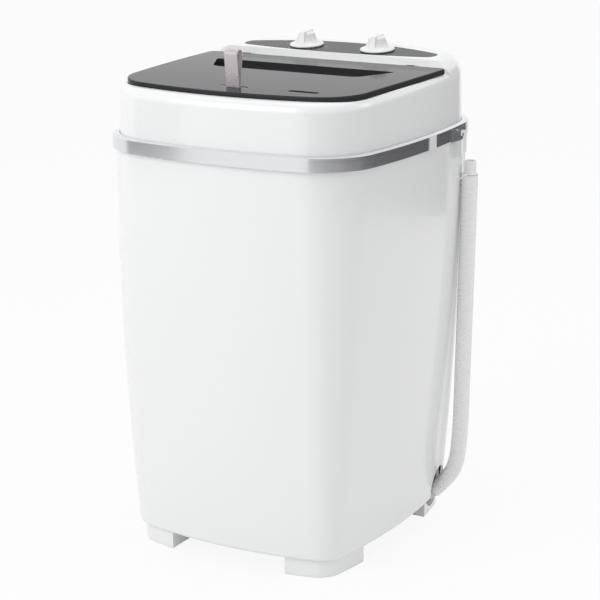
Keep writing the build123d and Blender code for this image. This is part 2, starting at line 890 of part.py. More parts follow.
with BuildPart() as drive_bearings:
    add(drive_ring(118.0, 130.0, bearing_outer, shaft_radius + running_gap))
    add(drive_ring(172.0, 184.0, bearing_outer, shaft_radius + running_gap))
finish_node(drive_bearings.part, "drive_bearings")

with BuildPart() as shaft_seal:
    add(drive_ring(188.0, 198.0, bearing_outer, shaft_radius + running_gap))
finish_node(shaft_seal.part, "shaft_seal")

# ---------------------------------------------------------------- pulsator and its drive
pulsator_radius = 120.0
pulsator_bottom = 201.0
shaft_bottom = 78.0
shaft_top = 222.0

with BuildPart() as pulsator:
    with BuildSketch(side_plane(tub_y)):
        with BuildLine():
            Polyline((0, pulsator_bottom), (pulsator_radius, pulsator_bottom), (pulsator_radius, 208.0))
            ThreePointArc((pulsator_radius, 208.0), (80.0, 206.0), (36.0, 214.0))
            ThreePointArc((36.0, 214.0), (20.0, 229.0), (0, 234.0))
            Line((0, 234.0), (0, pulsator_bottom))
        make_face()
    revolve(axis=tub_axis)
    with BuildSketch(Plane.XY.offset(205.0)):
        with Locations((0, tub_y)):
            with PolarLocations(66.0, 4):
                SlotOverall(96.0, 12.0)
    extrude(amount=17.0)
    with BuildSketch(Plane.XY.offset(pulsator_bottom - 1.0)):
        with Locations((0, tub_y)):
            Circle(shaft_radius)
    extrude(amount=shaft_top - pulsator_bottom + 1.0, mode=Mode.SUBTRACT)
    with BuildSketch(Plane.XY.offset(pulsator_bottom - 1.0)):
        with Locations((0, tub_y)):
            with PolarLocations(96.0, 12, start_angle=15.0):
                Circle(3.0)
    extrude(amount=20.0, mode=Mode.SUBTRACT)
    with BuildSketch(Plane.XY.offset(shaft_top)):
        with Locations((0, tub_y)):
            Circle(3.0)
    extrude(amount=20.0, mode=Mode.SUBTRACT)
finish_node(pulsator.part, "pulsator")

with BuildPart() as pulsator_screw:
    with BuildSketch(Plane.XY.offset(shaft_top)):
        with Locations((0, tub_y)):
            Circle(3.0)
    extrude(amount=14.0)
    with BuildSketch(Plane.XY.offset(234.1)):
        with Locations((0, tub_y)):
            Circle(8.0)
    extrude(amount=4.0)
    with BuildSketch(Plane.XY.offset(236.5)):
        with Locations((0, tub_y)):
            Rectangle(9.0, 1.6)
            Rectangle(1.6, 9.0)
    extrude(amount=4.0, mode=Mode.SUBTRACT)
finish_node(pulsator_screw.part, "pulsator_screw")

with BuildPart() as drive_shaft:
    with BuildSketch(Plane.XY.offset(shaft_bottom)):
        with Locations((0, tub_y)):
            Circle(shaft_radius)
    extrude(amount=shaft_top - shaft_bottom)
finish_node(drive_shaft.part, "drive_shaft")


def grooved_wheel(x, y, outer, floor, bore):
    """A V-belt pulley: a disc with a tapered groove round its rim."""
    low = pulley_middle - pulley_width / 2
    high = pulley_middle + pulley_width / 2
    with BuildPart() as wheel:
        with BuildSketch(side_plane(y)):
            with Locations((x, 0)):
                Polygon(
                    (bore, low),
                    (outer, low),
                    (outer, pulley_middle - 6.5),
                    (floor, pulley_middle - 5.0),
                    (floor, pulley_middle + 5.0),
                    (outer, pulley_middle + 6.5),
                    (outer, high),
                    (bore, high),
                    align=None,
                )
        revolve(axis=Axis((x, y, 0), (0, 0, 1)))
    return wheel.part


groove_depth = 7.5
belt_thickness = 6.0
big_outer = big_pitch_radius + 4.0
small_outer = small_pitch_radius + 4.0

with BuildPart() as driven_pulley:
    add(grooved_wheel(0, tub_y, big_outer, big_outer - groove_depth, shaft_radius))
    with BuildSketch(Plane.XY.offset(pulley_middle - 20.0)):
        with Locations((0, tub_y)):
            with PolarLocations(43.0, 5):
                Circle(14.0)
    extrude(amount=40.0, mode=Mode.SUBTRACT)
finish_node(driven_pulley.part, "driven_pulley")

with BuildPart() as pulley_nut:
    with BuildSketch(Plane.XY.offset(shaft_bottom + 2.0)):
        with Locations((0, tub_y)):
            RegularPolygon(14.0, 6)
            Circle(shaft_radius, mode=Mode.SUBTRACT)
    extrude(amount=8.0)
finish_node(pulley_nut.part, "pulley_nut")

with BuildPart() as drive_belt:
    for grow, mode in ((3.0, Mode.ADD), (3.0 - belt_thickness, Mode.SUBTRACT)):
        with BuildSketch(Plane.XY.offset(pulley_middle - 4.0)):
            with Locations((0, tub_y)):
                Circle(big_pitch_radius + grow)
            with Locations((motor_x, motor_y)):
                Circle(small_pitch_radius + grow)
            make_hull()
        extrude(amount=8.0, mode=mode)
finish_node(drive_belt.part, "drive_belt")

# ---------------------------------------------------------------- motor
motor_shaft_radius = 6.0
motor_bracket_thickness = 4.0
post_places = [(motor_x + dx, motor_y + dy) for dx in (-64.0, 62.0) for dy in (-46.0, 46.0)]

with BuildPart() as motor_housing:
    with BuildSketch(Plane.XY.offset(motor_bottom)):
        with Locations((motor_x, motor_y)):
            Circle(motor_radius)
    extrude(amount=motor_top - motor_bottom)
    fillet(motor_housing.edges().filter_by(GeomType.CIRCLE), 5.0)
    with BuildSketch(Plane.XY.offset(motor_bottom + 24.0)):
        with Locations((motor_x, motor_y)):
            Circle(motor_radius + 1.0)
            Circle(motor_radius - 3.0, mode=Mode.SUBTRACT)
    extrude(amount=3.0, mode=Mode.SUBTRACT)
    with BuildSketch(Plane.XY.offset(motor_bottom - 1.0)):
        with Locations((motor_x, motor_y)):
            Circle(motor_shaft_radius + running_gap)
    extrude(amount=66.0, mode=Mode.SUBTRACT)
finish_node(motor_housing.part, "motor_housing")

with BuildPart() as motor_bracket:
    with BuildSketch(Plane.XY.offset(motor_bottom - motor_bracket_thickness)):
        with Locations((motor_x, motor_y)):
            Rectangle(142.0, 106.0)
            Circle(14.0, mode=Mode.SUBTRACT)
    extrude(amount=motor_bracket_thickness)
    with BuildSketch(Plane.XY.offset(base_top)):
        with Locations(*post_places):
            Rectangle(12.0, 12.0)
    extrude(amount=motor_bottom - motor_bracket_thickness - base_top)
finish_node(motor_bracket.part, "motor_bracket")

with BuildPart() as motor_shaft:
    with BuildSketch(Plane.XY.offset(84.0)):
        with Locations((motor_x, motor_y)):
            Circle(motor_shaft_radius)
    extrude(amount=90.0)
finish_node(motor_shaft.part, "motor_shaft")

with BuildPart() as motor_pulley:
    add(grooved_wheel(motor_x, motor_y, small_outer, small_outer - groove_depth, motor_shaft_radius))
finish_node(motor_pulley.part, "motor_pulley")

# ---------------------------------------------------------------- capacitor
capacitor_x = -92.0
capacitor_y = 122.0

with BuildPart() as motor_capacitor:
    with BuildSketch(Plane.XY.offset(base_top)):
        with Locations((capacitor_x, capacitor_y)):
            Circle(16.0)
    extrude(amount=62.0)
    fillet(motor_capacitor.edges().filter_by(GeomType.CIRCLE), 2.0)
finish_node(motor_capacitor.part, "motor_capacitor")

with BuildPart() as capacitor_clip:
    with BuildSketch(Plane.XY.offset(base_top + 24.0)):
        with Locations((capacitor_x, capacitor_y)):
            Circle(17.6)
            Circle(16.2, mode=Mode.SUBTRACT)
    extrude(amount=10.0)
    with Locations((capacitor_x, capacitor_y - 18.2, base_top + 17.0)):
        Box(8.0, 1.6, 34.0)
finish_node(capacitor_clip.part, "capacitor_clip")

# ---------------------------------------------------------------- timer and selector
shaft_hole = 3.0
knob_lift = 0.2
control_bodies = {"timer": (44.0, 40.0, 34.0), "selector": (34.0, 30.0, 24.0)}
control_names = {"timer": "wash_timer", "selector": "selector_switch"}

for control, x in knob_places.items():
    length, depth, height = control_bodies[control]
    with BuildPart() as control_body:
        with BuildSketch(console_plane(x, knob_y, -4.1)):
            Rectangle(length, depth)
        extrude(amount=-height)
        with BuildSketch(console_plane(x, knob_y, -4.1)):
            Circle(4.4)
        extrude(amount=3.5)
        with BuildSketch(console_plane(x, knob_y, -22.0)):
            Circle(shaft_hole + running_gap)
        extrude(amount=30.0, mode=Mode.SUBTRACT)
        with BuildSketch(console_plane(x, knob_y, -4.1 - height)):
            with GridLocations(9.0, 0, 3, 1):
                Rectangle(4.0, 0.9)
        extrude(amount=-8.0)
    finish_node(control_body.part, control_names[control])

    with BuildPart() as knob:
        with BuildSketch(console_plane(x, knob_y, knob_lift)):
            Circle(knob_radius)
        extrude(amount=2.4)
        flare = [(2.4, 20.0), (6.0, 15.0), (10.0, 12.6), (14.0, 11.6)]
        flare_sketches = []
        for lift, radius in flare:
            with BuildSketch(console_plane(x, knob_y, knob_lift + lift), mode=Mode.PRIVATE) as ring:
                Circle(radius)
            flare_sketches.append(ring.sketch)
        loft(sections=flare_sketches)
        with BuildSketch(console_plane(x, knob_y, knob_lift + 2.0)):
            RectangleRounded(12.0, 37.0, 5.0)
        extrude(amount=knob_height - 2.0, taper=5.0)
        with BuildSketch(console_plane(x, knob_y, knob_lift - 1.0)):
            Circle(shaft_hole)
        extrude(amount=11.0, mode=Mode.SUBTRACT)
    finish_node(knob.part, f"{control}_knob")

    with BuildPart() as spindle:
        with BuildSketch(console_plane(x, knob_y, -20.0)):
            Circle(shaft_hole)
        extrude(amount=20.0 + knob_lift + 10.0)
    finish_node(spindle.part, f"{control}_spindle")

# ---------------------------------------------------------------- drain pipe, spigot and clamp
spigot_out = 172.0
spigot_top = 60.0
spigot_bend = 12.0
spigot_low = 40.0
hose_rise = 42.0

bearing = math.radians(hose_bearing)
hose_plane = Plane(
    origin=corner_point(0, hose_offset, 0),
    x_dir=(math.cos(bearing), math.sin(bearing), 0),
    z_dir=(math.sin(bearing), -math.cos(bearing), 0),
)


def swept_bar(path, radius):
    """A round bar along a path."""
    with BuildPart() as bar:
        with BuildSketch(Plane(origin=path @ 0, z_dir=path % 0)) as face:
            Circle(radius)
        sweep(sections=face.sketch, path=path)
    return bar.part


pipe_end = corner_point(spigot_out, hose_offset, spigot_top)
with BuildLine() as pipe_route:
    FilletPolyline(
        (drain_x, drain_y, tub_floor),
        (drain_x, drain_y, 150.0),
        (pipe_end[0], pipe_end[1], 104.0),
        pipe_end,
        radius=24.0,
    )

with BuildPart() as drain_pipe:
    add(swept_bar(pipe_route.line, spigot_radius))
    with BuildSketch(Plane.XY.offset(tub_floor)):
        with Locations((drain_x, drain_y)):
            Circle(14.0)
    extrude(amount=-2.4)
    add(swept_bar(pipe_route.line, spigot_radius - 2.0), mode=Mode.SUBTRACT)
finish_node(drain_pipe.part, "drain_pipe")

with BuildLine(hose_plane) as spigot_route:
    Line((spigot_out, spigot_top), (spigot_out, spigot_low))
    CenterArc((spigot_out + spigot_bend, spigot_low), spigot_bend, 180.0, 90.0 + hose_rise)

with BuildPart() as drain_spigot:
    add(swept_bar(spigot_route.line, spigot_radius))
    add(swept_bar(spigot_route.line, spigot_radius - 2.5), mode=Mode.SUBTRACT)
finish_node(drain_spigot.part, "drain_spigot")

with BuildPart() as hose_clamp:
    with BuildSketch(Plane.XY.offset(spigot_top - 5.0)):
        with Locations(pipe_end[:2]):
            Circle(spigot_radius + 1.6)
            Circle(spigot_radius + 0.05, mode=Mode.SUBTRACT)
    extrude(amount=10.0)
finish_node(hose_clamp.part, "hose_clamp")

# ---------------------------------------------------------------- drain hose
# Route in the upright plane through the corner: distance out, height.
hose_start = (
    spigot_out + spigot_bend + spigot_bend * math.sin(math.radians(hose_rise)),
    spigot_low - spigot_bend * math.cos(math.radians(hose_rise)),
)
first_run = 28.0
hose_points = [
    hose_start,
    (
        hose_start[0] + first_run * math.cos(math.radians(hose_rise)),
        hose_start[1] + first_run * math.sin(math.radians(hose_rise)),
    ),
    (224.6, 72.0),
    (228.5, 122.0),
    (229.2, 185.0),
    (230.8, 290.0),
    (232.2, 388.0),
    (233.3, 477.0),
]


def bend_radii(points):
    """The largest tangent arc that each inner point of a route can hold."""
    radii = []
    for before, here, after in zip(points, points[1:], points[2:]):
        into = Vector(*here) - Vector(*before)
        out_of = Vector(*after) - Vector(*here)
        half_turn = math.radians(into.get_angle(out_of)) / 2
        radii.append(0.45 * min(into.length, out_of.length) / math.tan(half_turn))
    return radii


hose_radii = bend_radii(hose_points)
print("drain hose radii", [round(radius, 1) for radius in hose_radii])

with BuildLine(hose_plane) as hose_route:
    FilletPolyline(*hose_points, radius=hose_radii)

with BuildPart() as drain_hose:
    add(swept_bar(hose_route.line, hose_radius))
print("drain hose length", round(hose_route.wires()[0].length, 1))
print("drain hose volume", round(drain_hose.part.volume / (math.pi * hose_radius**2), 1))
finish_node(drain_hose.part, "drain_hose")

cuff_length = 16.0
collar_radius = 9.4
collar_height = 3.6
hose_end = hose_route.line @ 1
hose_end_way = hose_route.line % 1
cuff_foot = hose_end + hose_end_way * collar_height

with BuildPart() as hose_cuff:
    with BuildSketch(Plane(origin=hose_end, z_dir=hose_end_way)):
        Circle(collar_radius)
        Circle(cuff_radius - 2.0, mode=Mode.SUBTRACT)
    extrude(amount=collar_height)
    with BuildSketch(Plane(origin=cuff_foot, z_dir=hose_end_way)):
        Circle(cuff_radius)
        Circle(cuff_radius - 2.0, mode=Mode.SUBTRACT)
    extrude(amount=cuff_length)
finish_node(hose_cuff.part, "hose_cuff")
print("cuff foot", [round(value, 3) for value in cuff_foot], [round(value, 6) for value in hose_end_way])

# ---------------------------------------------------------------- hose bracket, hook and strap
bracket_stand_out = band_stand_out + 2.4
rib_stand_out = bracket_stand_out + 0.7
rib_thickness = 1.1
corner_cut = 150.0
corner_cut_depth = 120.0
bracket_left = -32.5
bracket_right = 3.0
notch_floor = 535.0
hook_along = -3.0
hook_width = 5.0
hook_clearance = 0.4
hook_inside = 216.9
hook_tongue = 2.1
hook_outside = 224.5
hook_thickness = 3.6
hook_top = 542.0
hook_foot = 512.8

with BuildPart() as bracket_ribs:
    for rib_height in (531.6, 534.2, 536.8, 539.4):
        add(band_ring(rib_height, rib_thickness, rib_stand_out, bracket_stand_out - 1.0))
    with BuildSketch(corner_plane(corner_cut, (bracket_left + hook_along) / 2, 0)):
        Rectangle(hook_along - bracket_left - 12.0, 1200.0)
    extrude(amount=corner_cut_depth, mode=Mode.INTERSECT)

with BuildPart() as hose_bracket:
    add(band_ring(528.0, 20.0, bracket_stand_out, band_stand_out + 0.1))
    with BuildSketch(corner_plane(corner_cut, 0, 0)):
        Polygon(
            (bracket_left, 531.0),
            (-20.0, 531.0),
            (-14.0, 529.5),
            (bracket_right, 529.5),
            (bracket_right, 542.0),
            (-15.0, 542.0),
            (-22.0, 546.0),
            (bracket_left, 546.0),
            align=None,
        )
    extrude(amount=corner_cut_depth, mode=Mode.INTERSECT)
    add(bracket_ribs.part)
    with BuildSketch(corner_plane(corner_cut, hook_along, 0)):
        with Locations((0, notch_floor + 10.0)):
            Rectangle(hook_width + 2 * hook_clearance, 20.0)
    extrude(amount=corner_cut_depth, mode=Mode.SUBTRACT)
finish_node(hose_bracket.part, "hose_bracket")

hook_plane = Plane(
    origin=corner_point(0, hook_along, 0),
    x_dir=(math.cos(bearing), math.sin(bearing), 0),
    z_dir=(math.sin(bearing), -math.cos(bearing), 0),
)

with BuildPart() as hose_hook:
    with BuildSketch(hook_plane) as hook_side:
        Polygon(
            (hook_inside, notch_floor),
            (hook_inside + hook_tongue, notch_floor),
            (hook_inside + hook_tongue, hook_top - hook_thickness),
            (hook_outside - hook_thickness, hook_top - hook_thickness),
            (hook_outside - hook_thickness, hook_foot),
            (hook_outside, hook_foot),
            (hook_outside, hook_top),
            (hook_inside, hook_top),
            align=None,
        )
        fillet(hook_side.vertices().sort_by(Axis.Y)[-2:], 1.6)
    extrude(amount=hook_width / 2, both=True)
finish_node(hose_hook.part, "hose_hook")

loop_top = Vector(*corner_point(222.6, hook_along, hook_foot))
loop_foot = Vector(*corner_point(216.0, hook_along - 1.0, 482.6))
loop_radius = 5.2
loop_tip_radius = 1.5
strand = 1.5
loop_rise = (loop_top - loop_foot).normalized()
loop_across = Vector(*corner_point(1.0, 0, 0))
loop_across = (loop_across - loop_rise * loop_across.dot(loop_rise)).normalized()
loop_plane = Plane(origin=loop_foot, x_dir=loop_across, z_dir=loop_across.cross(loop_rise))
loop_tip = (loop_top - loop_foot).length - loop_tip_radius
ring_height = 477.4
tie_start = loop_foot + loop_across * (loop_radius - strand / 2)
tie_end = Vector(*corner_point(229.2, 18.0, ring_height + 1.3))

with BuildPart() as hose_strap:
    with BuildSketch(loop_plane):
        Circle(loop_radius)
        with Locations((0, loop_tip)):
            Circle(loop_tip_radius)
        make_hull()
    extrude(amount=0.8, both=True)
    with BuildSketch(loop_plane):
        Circle(loop_radius - strand)
        with Locations((0, loop_tip - 3.5)):
            Circle(0.4)
        make_hull()
    extrude(amount=2.0, both=True, mode=Mode.SUBTRACT)
    with BuildSketch(Plane(origin=tie_start, z_dir=tie_end - tie_start)):
        Circle(0.9)
    extrude(amount=(tie_end - tie_start).length)
    with BuildSketch(Plane.XY.offset(ring_height)):
        with Locations((hose_end.X, hose_end.Y)):
            Circle(hose_radius - 0.1)
            Circle(collar_radius + 0.15, mode=Mode.SUBTRACT)
    extrude(amount=2.6)
finish_node(hose_strap.part, "hose_strap")

print("nodes", len(nodes))
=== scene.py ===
"""Dresses the packed washing machine: finishes for its solids, a bellows hose, dials, tab and marks."""

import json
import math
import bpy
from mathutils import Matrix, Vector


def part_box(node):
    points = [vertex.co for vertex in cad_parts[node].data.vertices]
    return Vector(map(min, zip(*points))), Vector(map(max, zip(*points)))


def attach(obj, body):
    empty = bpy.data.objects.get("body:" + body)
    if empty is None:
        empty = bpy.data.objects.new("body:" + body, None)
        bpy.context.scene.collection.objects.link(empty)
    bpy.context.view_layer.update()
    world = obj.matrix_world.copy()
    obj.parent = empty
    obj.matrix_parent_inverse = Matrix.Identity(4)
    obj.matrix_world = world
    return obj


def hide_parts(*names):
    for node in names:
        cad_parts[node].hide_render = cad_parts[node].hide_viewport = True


bl_info = {
    "name": "Top Load Washing Machine",
    "version": (1, 0, 0),
    "blender": (4, 5, 0),
    "location": "View3D > Sidebar > Washer",
    "description": "Finishes and fine parts for a portable top load washing machine",
    "category": "Object",
}

import bmesh
import bpy
from bpy.props import FloatProperty, FloatVectorProperty, IntProperty, PointerProperty
from mathutils import Matrix, Vector

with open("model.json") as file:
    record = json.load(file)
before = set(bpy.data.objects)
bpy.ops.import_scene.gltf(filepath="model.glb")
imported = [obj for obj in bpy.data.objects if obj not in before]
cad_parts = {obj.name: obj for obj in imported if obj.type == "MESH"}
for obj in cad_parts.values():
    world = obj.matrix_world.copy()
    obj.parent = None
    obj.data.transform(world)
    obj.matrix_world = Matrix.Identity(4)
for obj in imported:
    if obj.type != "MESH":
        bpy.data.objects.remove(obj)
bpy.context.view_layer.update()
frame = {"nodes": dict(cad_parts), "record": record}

MM = 0.001
MACHINE = "machine"
HOSE_BEARING = math.radians(30.0)
HOSE_OFFSET = 27.0 * MM
CONSOLE_SLOPE = math.radians(5.0)
CONSOLE_PIVOT = (122.0 * MM, 634.5 * MM)
KNOB_X = 54.0 * MM
KNOB_Y = 129.0 * MM
PANEL_DROP = 0.4 * MM
TICK_WIDTH = 0.7 * MM
TICK_HEIGHT = 0.12 * MM
TICK_LIFT = 0.03 * MM
NUMBER_LIFT = 0.05 * MM
# Half the width and half the depth of the oval that the dial numbers stand on.
NUMBER_OVAL = (30.5 * MM, 26.3 * MM)

HOSE_SIDES = 28
STEPS_PER_RING = 8.0
GROOVE_SHARPNESS = 6.0
PLAIN_END = 16.0 * MM
STRAND_RADIUS = 0.75 * MM
LOOP_HALF_WIDTH = 4.45 * MM
TIE_RING_HEIGHT = 478.7 * MM
TIE_RING_RADIUS = 10.5 * MM
TIE_RING_POINTS = 12

# The grip bar across a knob: its middle's height, then its width, length and height.
GRIP_MIDDLE = 11.3 * MM
GRIP_SIZE = (10 * MM, 34 * MM, 17 * MM)
GRIP_END = 16 * MM
GRIP_SHOULDER = 19 * MM
GRIP_TAPER = (0.8, 0.66)
MELT_GRAIN = 0.55 * MM

TAB_LOOP_RADIUS = 6.2 * MM
TAB_NECK = 1.1 * MM
TAB_HEAD_ROOM = 0.8 * MM
TAB_FOOT_RISE = 1.9 * MM
TAB_WALL = 1.4 * MM
TAB_EDGE = 0.3 * MM
TAB_STEPS = 8

CAMERA_TARGET = (0.00642, 0.00365, 0.3124)
SENSOR_WIDTH = 36.0
FLOOR_REACH = 40.0
FLOOR_GLOW = 0.9
# Where the dark cards stand on the floor, one after the other, round the machine's right side.
DARK_WALK = ((0.35, 2.0), (1.6, 1.3), (2.4, 0.2), (2.4, -1.2), (1.7, -2.4), (0.75, -3.0))
DARK_WALK_HEIGHT = 1.1
LEFT_CARD = ((-2.9, -1.3), (-1.9, -2.43))
LEFT_CARD_HEIGHT = 0.9


# ---------------------------------------------------------------- sizes and colours a user may change
class WasherFinishes(bpy.types.PropertyGroup):
    """Colours of the main finishes."""

    casing: FloatVectorProperty(
        name="Casing", description="Colour of the casing and cover", subtype="COLOR",
        size=3, min=0, max=1, default=(0.88, 0.885, 0.89),
    )
    lid: FloatVectorProperty(
        name="Lid", description="Colour of the lid and console panel", subtype="COLOR",
        size=3, min=0, max=1, default=(0.04, 0.04, 0.043),
    )
    band: FloatVectorProperty(
        name="Band", description="Colour of the trim band's metal", subtype="COLOR",
        size=3, min=0, max=1, default=(0.82, 0.825, 0.84),
    )
    tab: FloatVectorProperty(
        name="Pull tab", description="Colour of the clear pull tab", subtype="COLOR",
        size=3, min=0, max=1, default=(0.74, 0.69, 0.70),
    )
    casing_gloss: FloatProperty(
        name="Casing roughness", description="Lower is glossier", min=0.02, max=1, default=0.2,
    )


class WasherHose(bpy.types.PropertyGroup):
    """Sizes of the drain hose."""

    outer_radius: FloatProperty(
        name="Outer radius", description="Radius over the hose's rings", unit="LENGTH",
        default=11.0 * MM, min=5 * MM, max=20 * MM,
    )
    ring_depth: FloatProperty(
        name="Ring depth", description="Depth of the grooves between rings", unit="LENGTH",
        default=0.6 * MM, min=0, max=4 * MM,
    )
    ring_count: IntProperty(
        name="Rings", description="Rings along the hose", default=146, min=10, max=400,
    )


class WasherDials(bpy.types.PropertyGroup):
    """Marks round the two knobs."""

    tick_radius: FloatProperty(
        name="Mark radius", description="Distance of the marks from a knob's middle",
        unit="LENGTH", default=24.5 * MM, min=24 * MM, max=32 * MM,
    )
    tick_length: FloatProperty(
        name="Mark length", description="Length of each mark", unit="LENGTH",
        default=1.2 * MM, min=1 * MM, max=6 * MM,
    )
    number_height: FloatProperty(
        name="Number height", description="Height of the plain numbers", unit="LENGTH",
        default=3.2 * MM, min=2 * MM, max=8 * MM,
    )


class WasherStage(bpy.types.PropertyGroup):
    """Camera and light."""

    azimuth: FloatProperty(
        name="Azimuth", description="Camera's turn round the machine", subtype="ANGLE",
        default=math.radians(29.6),
    )
    elevation: FloatProperty(
        name="Elevation", description="Camera's angle above level", subtype="ANGLE",
        default=math.radians(15.08),
    )
    distance: FloatProperty(
        name="Distance", description="Camera's distance", unit="LENGTH", default=2.5198, min=1, max=8,
    )
    lens: FloatProperty(
        name="Lens", description="Focal length in millimetres", default=113.2, min=20, max=300,
    )
    key_power: FloatProperty(
        name="Key light", description="Power of the front light in watts", default=32.0, min=0, max=500,
    )
    fill_level: FloatProperty(
        name="Room light", description="Level of the light from all round", default=0.68, min=0, max=2,
    )


# ---------------------------------------------------------------- materials
class Finish:
    """A material on the object's own coordinates, with detail added step by step."""

    def __init__(self, name, colour, roughness, metallic=0.0, **sockets):
        self.material = bpy.data.materials.new(name)
        self.material.use_nodes = True
        self.tree = self.material.node_tree
        self.shader = self.tree.nodes["Principled BSDF"]
        self.colour = tuple(colour)
        self.roughness = roughness
        self.set("Base Color", (*colour, 1.0))
        self.set("Roughness", roughness)
        self.set("Metallic", metallic)
        for socket, value in sockets.items():
            self.set(socket.replace("_", " "), value)

    def set(self, socket, value):
        self.shader.inputs[socket].default_value = value

    def node(self, kind, **values):
        made = self.tree.nodes.new(kind)
        for key, value in values.items():
            setattr(made, key, value)
        return made

    def place(self, stretch=(1, 1, 1), turn=(0, 0, 0)):
        """Object coordinates, stretched along an axis where a pattern runs."""
        coordinates = self.node("ShaderNodeTexCoord")
        mapping = self.node("ShaderNodeMapping")
        mapping.inputs["Scale"].default_value = stretch
        mapping.inputs["Rotation"].default_value = turn
        self.tree.links.new(coordinates.outputs["Object"], mapping.inputs["Vector"])
        return mapping.outputs["Vector"]

    def noise(self, scale, detail=2.0, stretch=(1, 1, 1)):
        texture = self.node("ShaderNodeTexNoise")
        texture.inputs["Scale"].default_value = scale
        texture.inputs["Detail"].default_value = detail
        self.tree.links.new(self.place(stretch), texture.inputs["Vector"])
        return texture.outputs["Fac"]

    def remap(self, field, low, high, start=0.3, end=0.7):
        ramp = self.node("ShaderNodeMapRange")
        ramp.inputs["From Min"].default_value = start
        ramp.inputs["From Max"].default_value = end
        ramp.inputs["To Min"].default_value = low
        ramp.inputs["To Max"].default_value = high
        self.tree.links.new(field, ramp.inputs["Value"])
        return ramp.outputs["Result"]

    def vary_roughness(self, field, spread):
        low = max(0.0, self.roughness - spread)
        self.tree.links.new(
            self.remap(field, low, self.roughness + spread), self.shader.inputs["Roughness"]
        )
        return self

    def vary_colour(self, field, darken):
        ramp = self.node("ShaderNodeValToRGB")
        ramp.color_ramp.elements[0].position = 0.3
        ramp.color_ramp.elements[1].position = 0.7
        ramp.color_ramp.elements[0].color = (*(c * (1 - darken) for c in self.colour), 1)
        ramp.color_ramp.elements[1].color = (*self.colour, 1)
        self.tree.links.new(field, ramp.inputs["Fac"])
        self.tree.links.new(ramp.outputs["Color"], self.shader.inputs["Base Color"])
        return self

    def bump(self, field, depth, strength=1.0):
        bump = self.node("ShaderNodeBump")
        bump.inputs["Strength"].default_value = strength
        bump.inputs["Distance"].default_value = depth
        self.tree.links.new(field, bump.inputs["Height"])
        self.tree.links.new(bump.outputs["Normal"], self.shader.inputs["Normal"])
        return self


def gloss_plastic(name, colour, roughness):
    """Moulded gloss plastic: a faint orange peel and slight changes of gloss."""
    finish = Finish(name, colour, roughness, Coat_Weight=0.35, Coat_Roughness=0.06, IOR=1.5)
    finish.vary_roughness(finish.noise(9.0, 3.0), 0.03)
    finish.vary_colour(finish.noise(4.0, 2.0), 0.012)
    return finish.bump(finish.noise(420.0, 2.0), 0.00002, 0.25)


def satin_plastic(name, colour, roughness=0.45, grain=900.0):
    """Moulded satin plastic: a fine grain over the whole surface."""
    finish = Finish(name, colour, roughness, IOR=1.48)
    finish.vary_roughness(finish.noise(60.0, 3.0), 0.06)
    finish.vary_colour(finish.noise(18.0, 3.0), 0.04)
    return finish.bump(finish.noise(grain, 3.0), 0.00005, 0.4)


def mirror_plastic(name, colour):
    """Deep gloss plastic: a hard clear face with the faintest ripple."""
    finish = Finish(name, colour, 0.09, IOR=1.15)
    finish.vary_roughness(finish.noise(14.0, 4.0), 0.02)
    return finish.bump(finish.noise(26.0, 1.0), 0.00003, 0.2)


def brushed_metal(name, colour, roughness=0.2, lines=(5, 5, 2600)):
    """Metal brushed along its length: lines stretched by the mapping."""
    finish = Finish(name, colour, roughness, metallic=1.0)
    strokes = finish.noise(1.0, 4.0, lines)
    finish.vary_roughness(strokes, 0.05)
    finish.vary_colour(strokes, 0.07)
    return finish.bump(strokes, 0.00002, 0.2)


def plain_metal(name, colour, roughness=0.32):
    """Turned or pressed metal: cloudy gloss and small marks."""
    finish = Finish(name, colour, roughness, metallic=1.0)
    finish.vary_roughness(finish.noise(140.0, 4.0), 0.1)
    finish.vary_colour(finish.noise(45.0, 4.0), 0.15)
    return finish.bump(finish.noise(700.0, 2.0), 0.00003, 0.3)


def soft_rubber(name, colour):
    """Matt rubber: dusty and finely grained."""
    finish = Finish(name, colour, 0.78, IOR=1.45)
    finish.vary_roughness(finish.noise(90.0, 4.0), 0.12)
    finish.vary_colour(finish.noise(30.0, 4.0), 0.3)
    return finish.bump(finish.noise(1500.0, 3.0), 0.00008, 0.5)


def clear_tab(name, colour):
    """Tinted clear plastic with a satin face."""
    finish = Finish(
        name, colour, 0.3, IOR=1.42, Transmission_Weight=0.3, Subsurface_Weight=0.0,
        Coat_Weight=0.2, Coat_Roughness=0.2,
    )
    finish.vary_roughness(finish.noise(70.0, 2.0), 0.05)
    finish.vary_colour(finish.noise(24.0, 2.0), 0.06)
    return finish.bump(finish.noise(300.0, 2.0), 0.00004, 0.3)


finishes = {}


def material(name):
    return finishes[name].material


def dress_node(node, finish):
    """Puts a finish on a CAD node."""
    mesh = frame["nodes"][node].data
    mesh.materials.clear()
    mesh.materials.append(material(finish))


# ---------------------------------------------------------------- mesh helpers
def new_piece(name, mesh, body, finish, smooth=True):
    """A finished mesh as a piece that rides on a body."""
    mesh.name = name
    piece = bpy.data.objects.new(name, mesh)
    bpy.context.scene.collection.objects.link(piece)
    mesh.materials.clear()
    mesh.materials.append(material(finish))
    for polygon in mesh.polygons:
        polygon.use_smooth = smooth
        polygon.material_index = 0
    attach(piece, body)
    return piece


def evaluated_mesh(piece):
    """The piece's mesh with its modifiers applied; the piece is then removed."""
    graph = bpy.context.evaluated_depsgraph_get()
    graph.update()
    mesh = bpy.data.meshes.new_from_object(piece.evaluated_get(graph), depsgraph=graph)
    bpy.data.objects.remove(piece)
    return mesh


def loose_piece(mesh, name="work"):
    piece = bpy.data.objects.new(name, mesh)
    bpy.context.scene.collection.objects.link(piece)
    return piece


